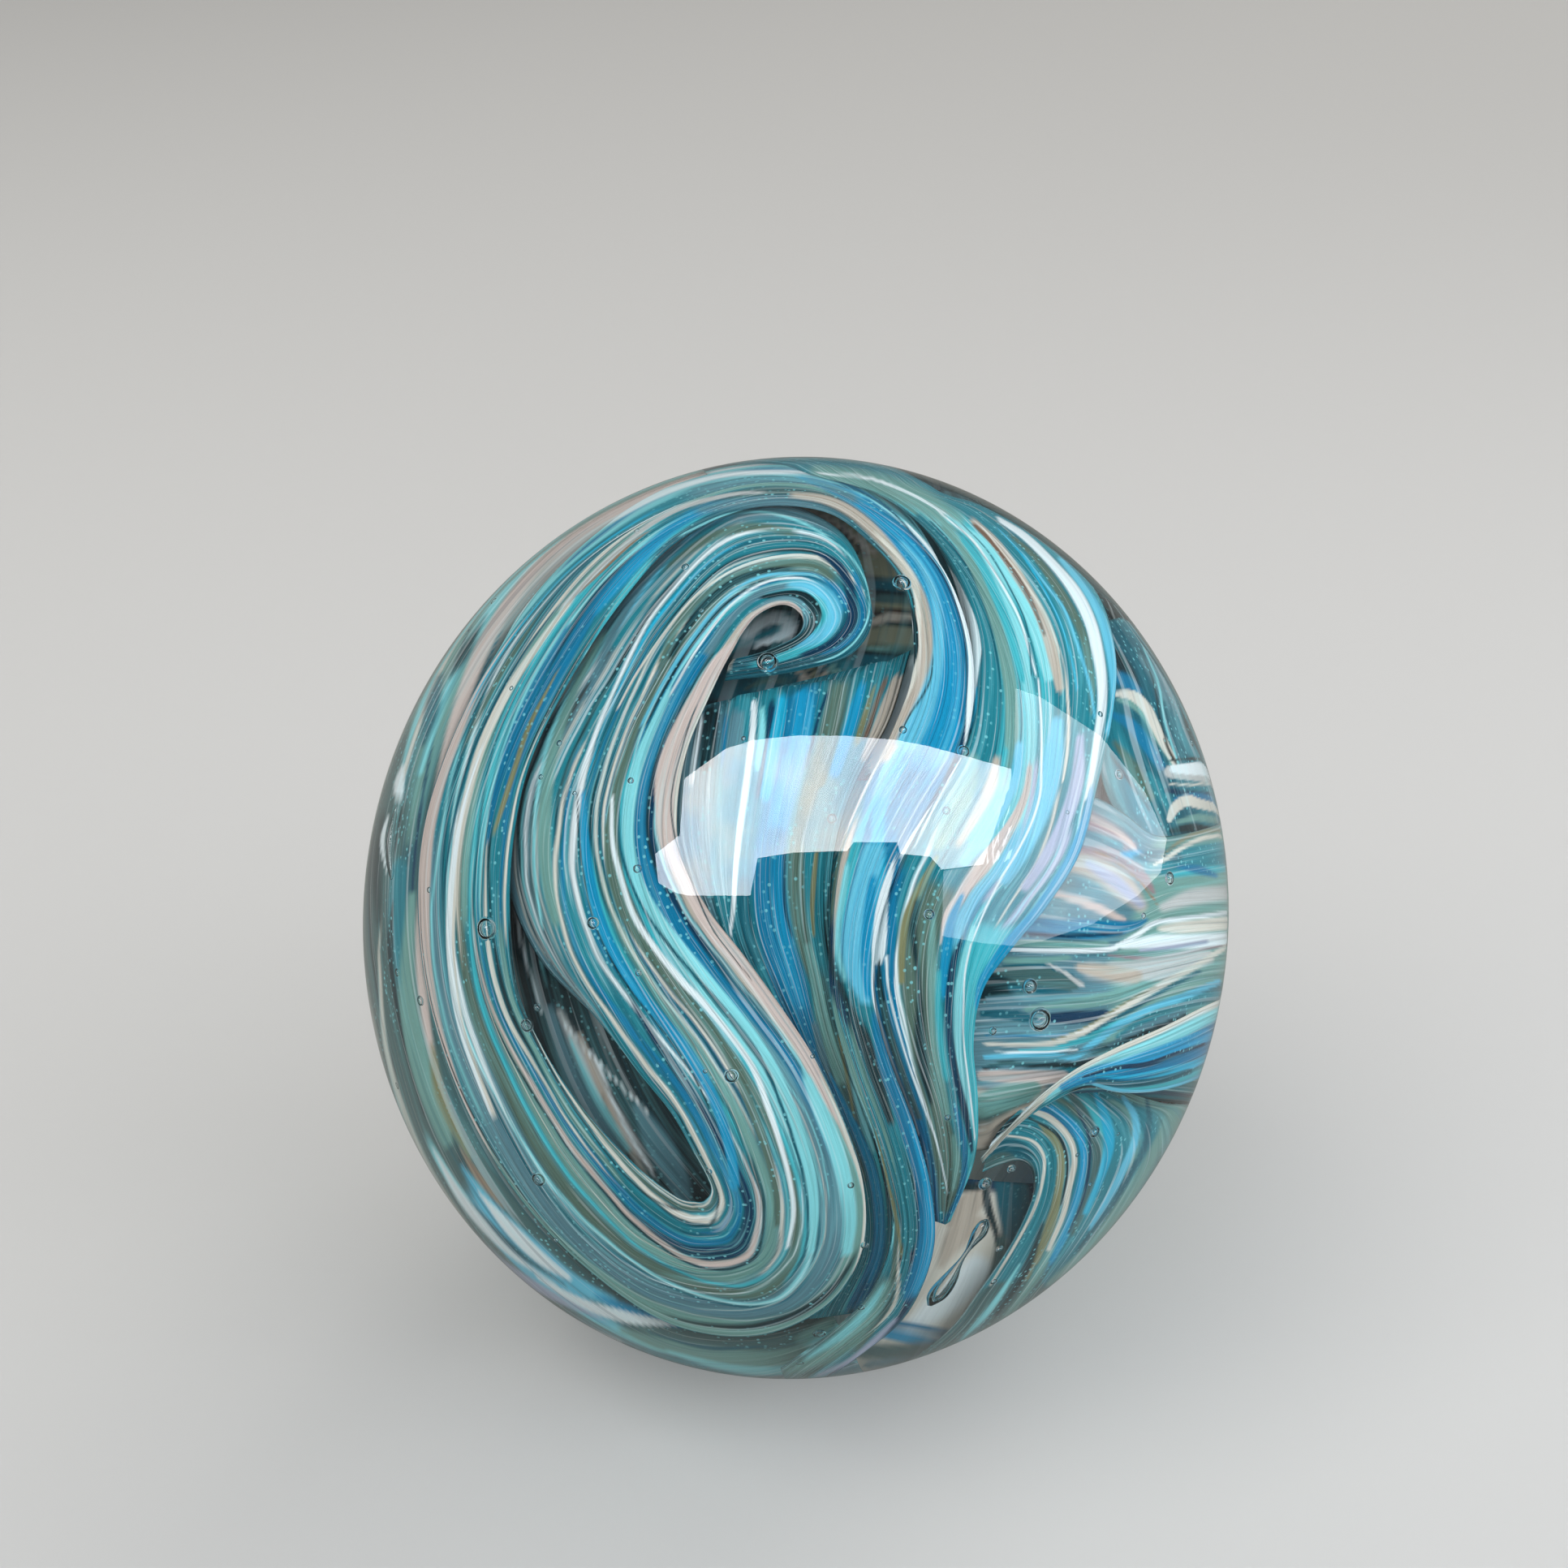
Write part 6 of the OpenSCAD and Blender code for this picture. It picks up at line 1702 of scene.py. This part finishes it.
class MARBLE_OT_inner_folds(Maker):
    """The dark folds deep in the ball and the pale pocket"""

    bl_idname = "marble.inner_folds"
    bl_label = "Inner folds"

    def execute(self, context):
        ball, sizes, tones = self.tools(context)
        material = coloured_glass("inner_glass", tones, seeds=0.5, fine=20.0)
        for seed, lines in enumerate(INNER_LINES):
            sheet = Sheet(lines, steps=24, columns=72, back=12)
            paint = sheet.paint(tones, "dark", 40 + seed)
            paint.strokes(INNER_STROKES)
            sheet.piece(
                "inner_fold_" + str(seed + 1), ball, paint.colour, material, INNER_DEPTH,
                sizes.ribbon_t, relief=sizes.relief, seed=44 + seed,
                nodes=("inner_folds",), slot="inner_folds",
            )
        sheet = Sheet(POCKET_LINES, steps=30, columns=60, back=10)
        paint = sheet.paint(tones, "cream", 48)
        paint.strokes(POCKET_STROKES)
        sheet.piece(
            "pale_pocket", ball, paint.colour,
            coloured_glass("pocket_glass", tones, seeds=0.2, streak=0.3, fine=10.0),
            INNER_DEPTH, sizes.ribbon_t, relief=sizes.relief / 2, seed=49,
        )
        return {"FINISHED"}


class MARBLE_OT_back_ribbons(Maker):
    """Three broad ribbons across the hidden side"""

    bl_idname = "marble.back_ribbons"
    bl_label = "Back ribbons"

    def execute(self, context):
        ball, sizes, tones = self.tools(context)
        material = coloured_glass("back_glass", tones, fine=60.0)
        for seed, lines in enumerate(BACK_LINES):
            sheet = Sheet(lines, steps=14, columns=104, back=12)
            paint = sheet.paint(tones, "teal", 50 + seed)
            paint.strands(BACK_STRANDS, echoes=0.9)
            sheet.piece(
                "back_ribbon_" + str(seed + 1), ball, paint.colour, material, UPPER_DEPTH,
                sizes.ribbon_t, relief=sizes.relief, side=-1, seed=54 + seed,
                nodes=("back_ribbons",), slot="back_ribbons",
            )
        return {"FINISHED"}


# ---- The stage ----

# Upper and lower edge of the soft light as they are mirrored in the ball: x, z, x, z in mm
WINDOW = [
    (-9.7, 4.9, -9.5, 2.9), (-8, 6.2, -8.3, 2.2), (-7.7, 10.1, -7.5, 2), (-4.8, 12.2, -4.6, 2),
    (-3.2, 12.7, -3.1, 2), (-2.9, 12.8, -2.6, 4.6), (0, 13.1, 0, 5), (3.6, 13.1, 3.6, 5.1),
    (4.1, 13.05, 4.1, 5.7), (7.1, 12.8, 7.1, 5.7), (7.3, 12.75, 7.3, 4.9), (9.6, 12.3, 9.4, 4.7),
    (10.3, 12.1, 10.2, 3.8), (15, 10.8, 15.2, 4.4),
]
FAINT_WINDOW = [
    (10.3, 3.7, 10.2, -0.8), (13, 4.1, 13, -1.3), (15.2, 10.7, 15.3, -1.5), (15.3, 16.4, 15.6, -1.4),
    (17, 15.8, 17, -1.2), (21.2, 13.1, 20.6, 0), (24.3, 9.2, 23.8, 2), (25.8, 5.9, 25.4, 3.6),
]


def plain_object(name, points, faces, material):
    """A mesh that is part of the stage."""
    mesh = bpy.data.meshes.new(name)
    mesh.from_pydata((np.asarray(points) * MM).tolist(), [], faces)
    mesh.materials.append(material)
    item = bpy.data.objects.new(name, mesh)
    bpy.context.scene.collection.objects.link(item)
    return item


class MARBLE_OT_stage(Maker):
    """A pale floor, soft light and a camera"""

    bl_idname = "marble.stage"
    bl_label = "Stage"

    def execute(self, context):
        ball, *_ = self.tools(context)
        self.floor()
        self.window("soft_window", ball, WINDOW, mirrored=11.2)
        self.window("faint_window", ball, FAINT_WINDOW, mirrored=1.5)
        self.lamps()
        self.world()
        self.camera(context, ball)
        return {"FINISHED"}

    def floor(self):
        """A flat square that just touches the ball. It is darker where the ball mirrors it."""
        pale, dim = (0.54, 0.53, 0.51), (0.24, 0.24, 0.22)
        material = bpy.data.materials.new("pale_floor")
        n = Nodes(material)
        mirrored = n.add("ShaderNodeLightPath", out="Is Glossy Ray")
        n.finish(
            n.add(
                "ShaderNodeBsdfPrincipled", Base_Color=n.blend(mirrored, pale, dim),
                Roughness=0.8, Specular_IOR_Level=0.1,
            )
        )
        low, reach = GLASS_BOX[0].z / MM, 3000.0
        corners = [(reach * x, reach * y, low) for x, y in ((-1, -1), (1, -1), (1, 1), (-1, 1))]
        plain_object("floor", corners, [[0, 1, 2, 3]], material)

    def window(self, name, ball, edges, mirrored, lit=3.0):
        """A curved panel of light. Each of its points is where the eye's line goes after the
        ball's surface has turned it back: d less twice its part along the normal. It is as
        strong as lit, and stronger where it is mirrored. The eye doesn't see it."""
        panel_rows, away = 8, 420.0
        ends = np.array(edges, float)
        knots = np.arange(len(ends))
        fine = np.linspace(0, knots[-1], 6 * knots[-1] + 1)
        ends = np.stack([np.interp(fine, knots, c) for c in ends.T], -1)
        share = np.linspace(0, 1, panel_rows)[:, None, None]
        seen = ends[:, 2:] + share * (ends[:, :2] - ends[:, 2:])
        _, d, p, normal = ball.sight(seen[..., 0], seen[..., 1])
        back = d - 2 * (d * normal).sum(-1)[..., None] * normal
        points = (p + away * back).reshape(-1, 3)
        index = np.arange(panel_rows * len(ends)).reshape(panel_rows, -1)
        faces = np.stack([index[:-1, :-1], index[:-1, 1:], index[1:, 1:], index[1:, :-1]], -1)
        material = bpy.data.materials.new(name)
        n = Nodes(material)
        glossy = n.add("ShaderNodeLightPath", out="Is Glossy Ray")
        seen_by_eye = n.add("ShaderNodeLightPath", out="Is Camera Ray")
        cloud = n.noise(n.add("ShaderNodeTexCoord", out="Object"), 9.0, 3.0, 0.5).step(0.35, 0.65)
        sky = n.blend(cloud, (0.72, 0.82, 0.95), (1.0, 0.97, 0.95))
        glow = n.add("ShaderNodeEmission", Color=sky, Strength=glossy * mirrored + lit)
        clear = n.add("ShaderNodeBsdfTransparent")
        n.finish(n.add("ShaderNodeMixShader", None, seen_by_eye, glow, clear))
        plain_object(name, points, faces.reshape(-1, 4).tolist(), material)

    def lamps(self):
        """Two broad soft lamps, one high on the left and one behind."""
        for name, place, power in (
            ("key_lamp", (-0.5, -0.55, 0.9), 9.0),
            ("far_lamp", (0.7, 0.8, 0.8), 5.0),
        ):
            light = bpy.data.lights.new(name, "AREA")
            light.size = 0.9
            light.energy = power
            light.color = (1.0, 1.0, 1.0)
            lamp = bpy.data.objects.new(name, light)
            lamp.location = place
            lamp.rotation_euler = (-Vector(place)).to_track_quat("-Z", "Y").to_euler()
            lamp.visible_glossy = False
            bpy.context.scene.collection.objects.link(lamp)

    def world(self):
        """A pale room for the eye, a dimmer one to light by, and a dim one for mirrored rays."""
        to_eye, to_light, to_mirror = 0.86, 0.56, 0.22
        world = bpy.data.worlds.new("pale_room")
        bpy.context.scene.world = world
        n = Nodes(world)
        seen = n.add("ShaderNodeLightPath", out="Is Camera Ray")
        mirrored = n.add("ShaderNodeLightPath", out="Is Glossy Ray")
        strength = seen * (to_eye - to_light) + to_light - mirrored * (to_light - to_mirror)
        room = n.add("ShaderNodeBackground", None, (0.78, 0.78, 0.77, 1.0), strength)
        n.finish(room, "ShaderNodeOutputWorld")

    def camera(self, context, ball):
        """Looks at the ball's centre, and is shifted so that the ball stands where it should: its
        centre's place and the focal length are in pixels of the square frame."""
        side_px, focal_px, centre_px, sensor = 1932, 2790.0, (979.5, 1139.0), 36.0
        data = bpy.data.cameras.new("camera")
        data.sensor_width = sensor
        data.lens = focal_px * sensor / side_px
        data.shift_x = (side_px / 2 - centre_px[0]) / side_px
        data.shift_y = (centre_px[1] - side_px / 2) / side_px
        data.clip_start = 0.01
        data.clip_end = 20.0
        camera = bpy.data.objects.new("camera", data)
        camera.location = Vector(ball.eye * ball.distance * MM)
        camera.rotation_euler = Vector(-ball.eye).to_track_quat("-Z", "Y").to_euler()
        context.scene.collection.objects.link(camera)
        context.scene.camera = camera
        context.scene.view_settings.view_transform = "Standard"


class MARBLE_PT_panel(bpy.types.Panel):
    """The marble's tools"""

    bl_label = "Marble"
    bl_idname = "MARBLE_PT_panel"
    bl_space_type = "VIEW_3D"
    bl_region_type = "UI"
    bl_category = "Marble"

    def draw(self, context):
        layout = self.layout
        for group in (context.scene.marble_sizes, context.scene.marble_colours):
            box = layout.box()
            for name in type(group).__annotations__:
                box.prop(group, name)
        for operator in MAKERS:
            layout.operator(operator.bl_idname)


MAKERS = (
    MARBLE_OT_clear_glass,
    MARBLE_OT_long_ribbon,
    MARBLE_OT_veil,
    MARBLE_OT_flank,
    MARBLE_OT_side_folds,
    MARBLE_OT_inner_folds,
    MARBLE_OT_back_ribbons,
    MARBLE_OT_bubbles,
    MARBLE_OT_stage,
)
CLASSES = (MarbleColours, MarbleSizes, *MAKERS, MARBLE_PT_panel)


def register():
    for cls in CLASSES:
        bpy.utils.register_class(cls)
    bpy.types.Scene.marble_colours = PointerProperty(type=MarbleColours)
    bpy.types.Scene.marble_sizes = PointerProperty(type=MarbleSizes)


def unregister():
    del bpy.types.Scene.marble_sizes
    del bpy.types.Scene.marble_colours
    for cls in reversed(CLASSES):
        bpy.utils.unregister_class(cls)


def main():
    """Makes every piece and the stage."""
    register()
    bpy.ops.marble.clear_glass()
    bpy.ops.marble.long_ribbon()
    bpy.ops.marble.veil()
    bpy.ops.marble.flank()
    bpy.ops.marble.side_folds()
    bpy.ops.marble.inner_folds()
    bpy.ops.marble.back_ribbons()
    bpy.ops.marble.bubbles()
    bpy.ops.marble.stage()


if __name__ == "__main__":
    main()
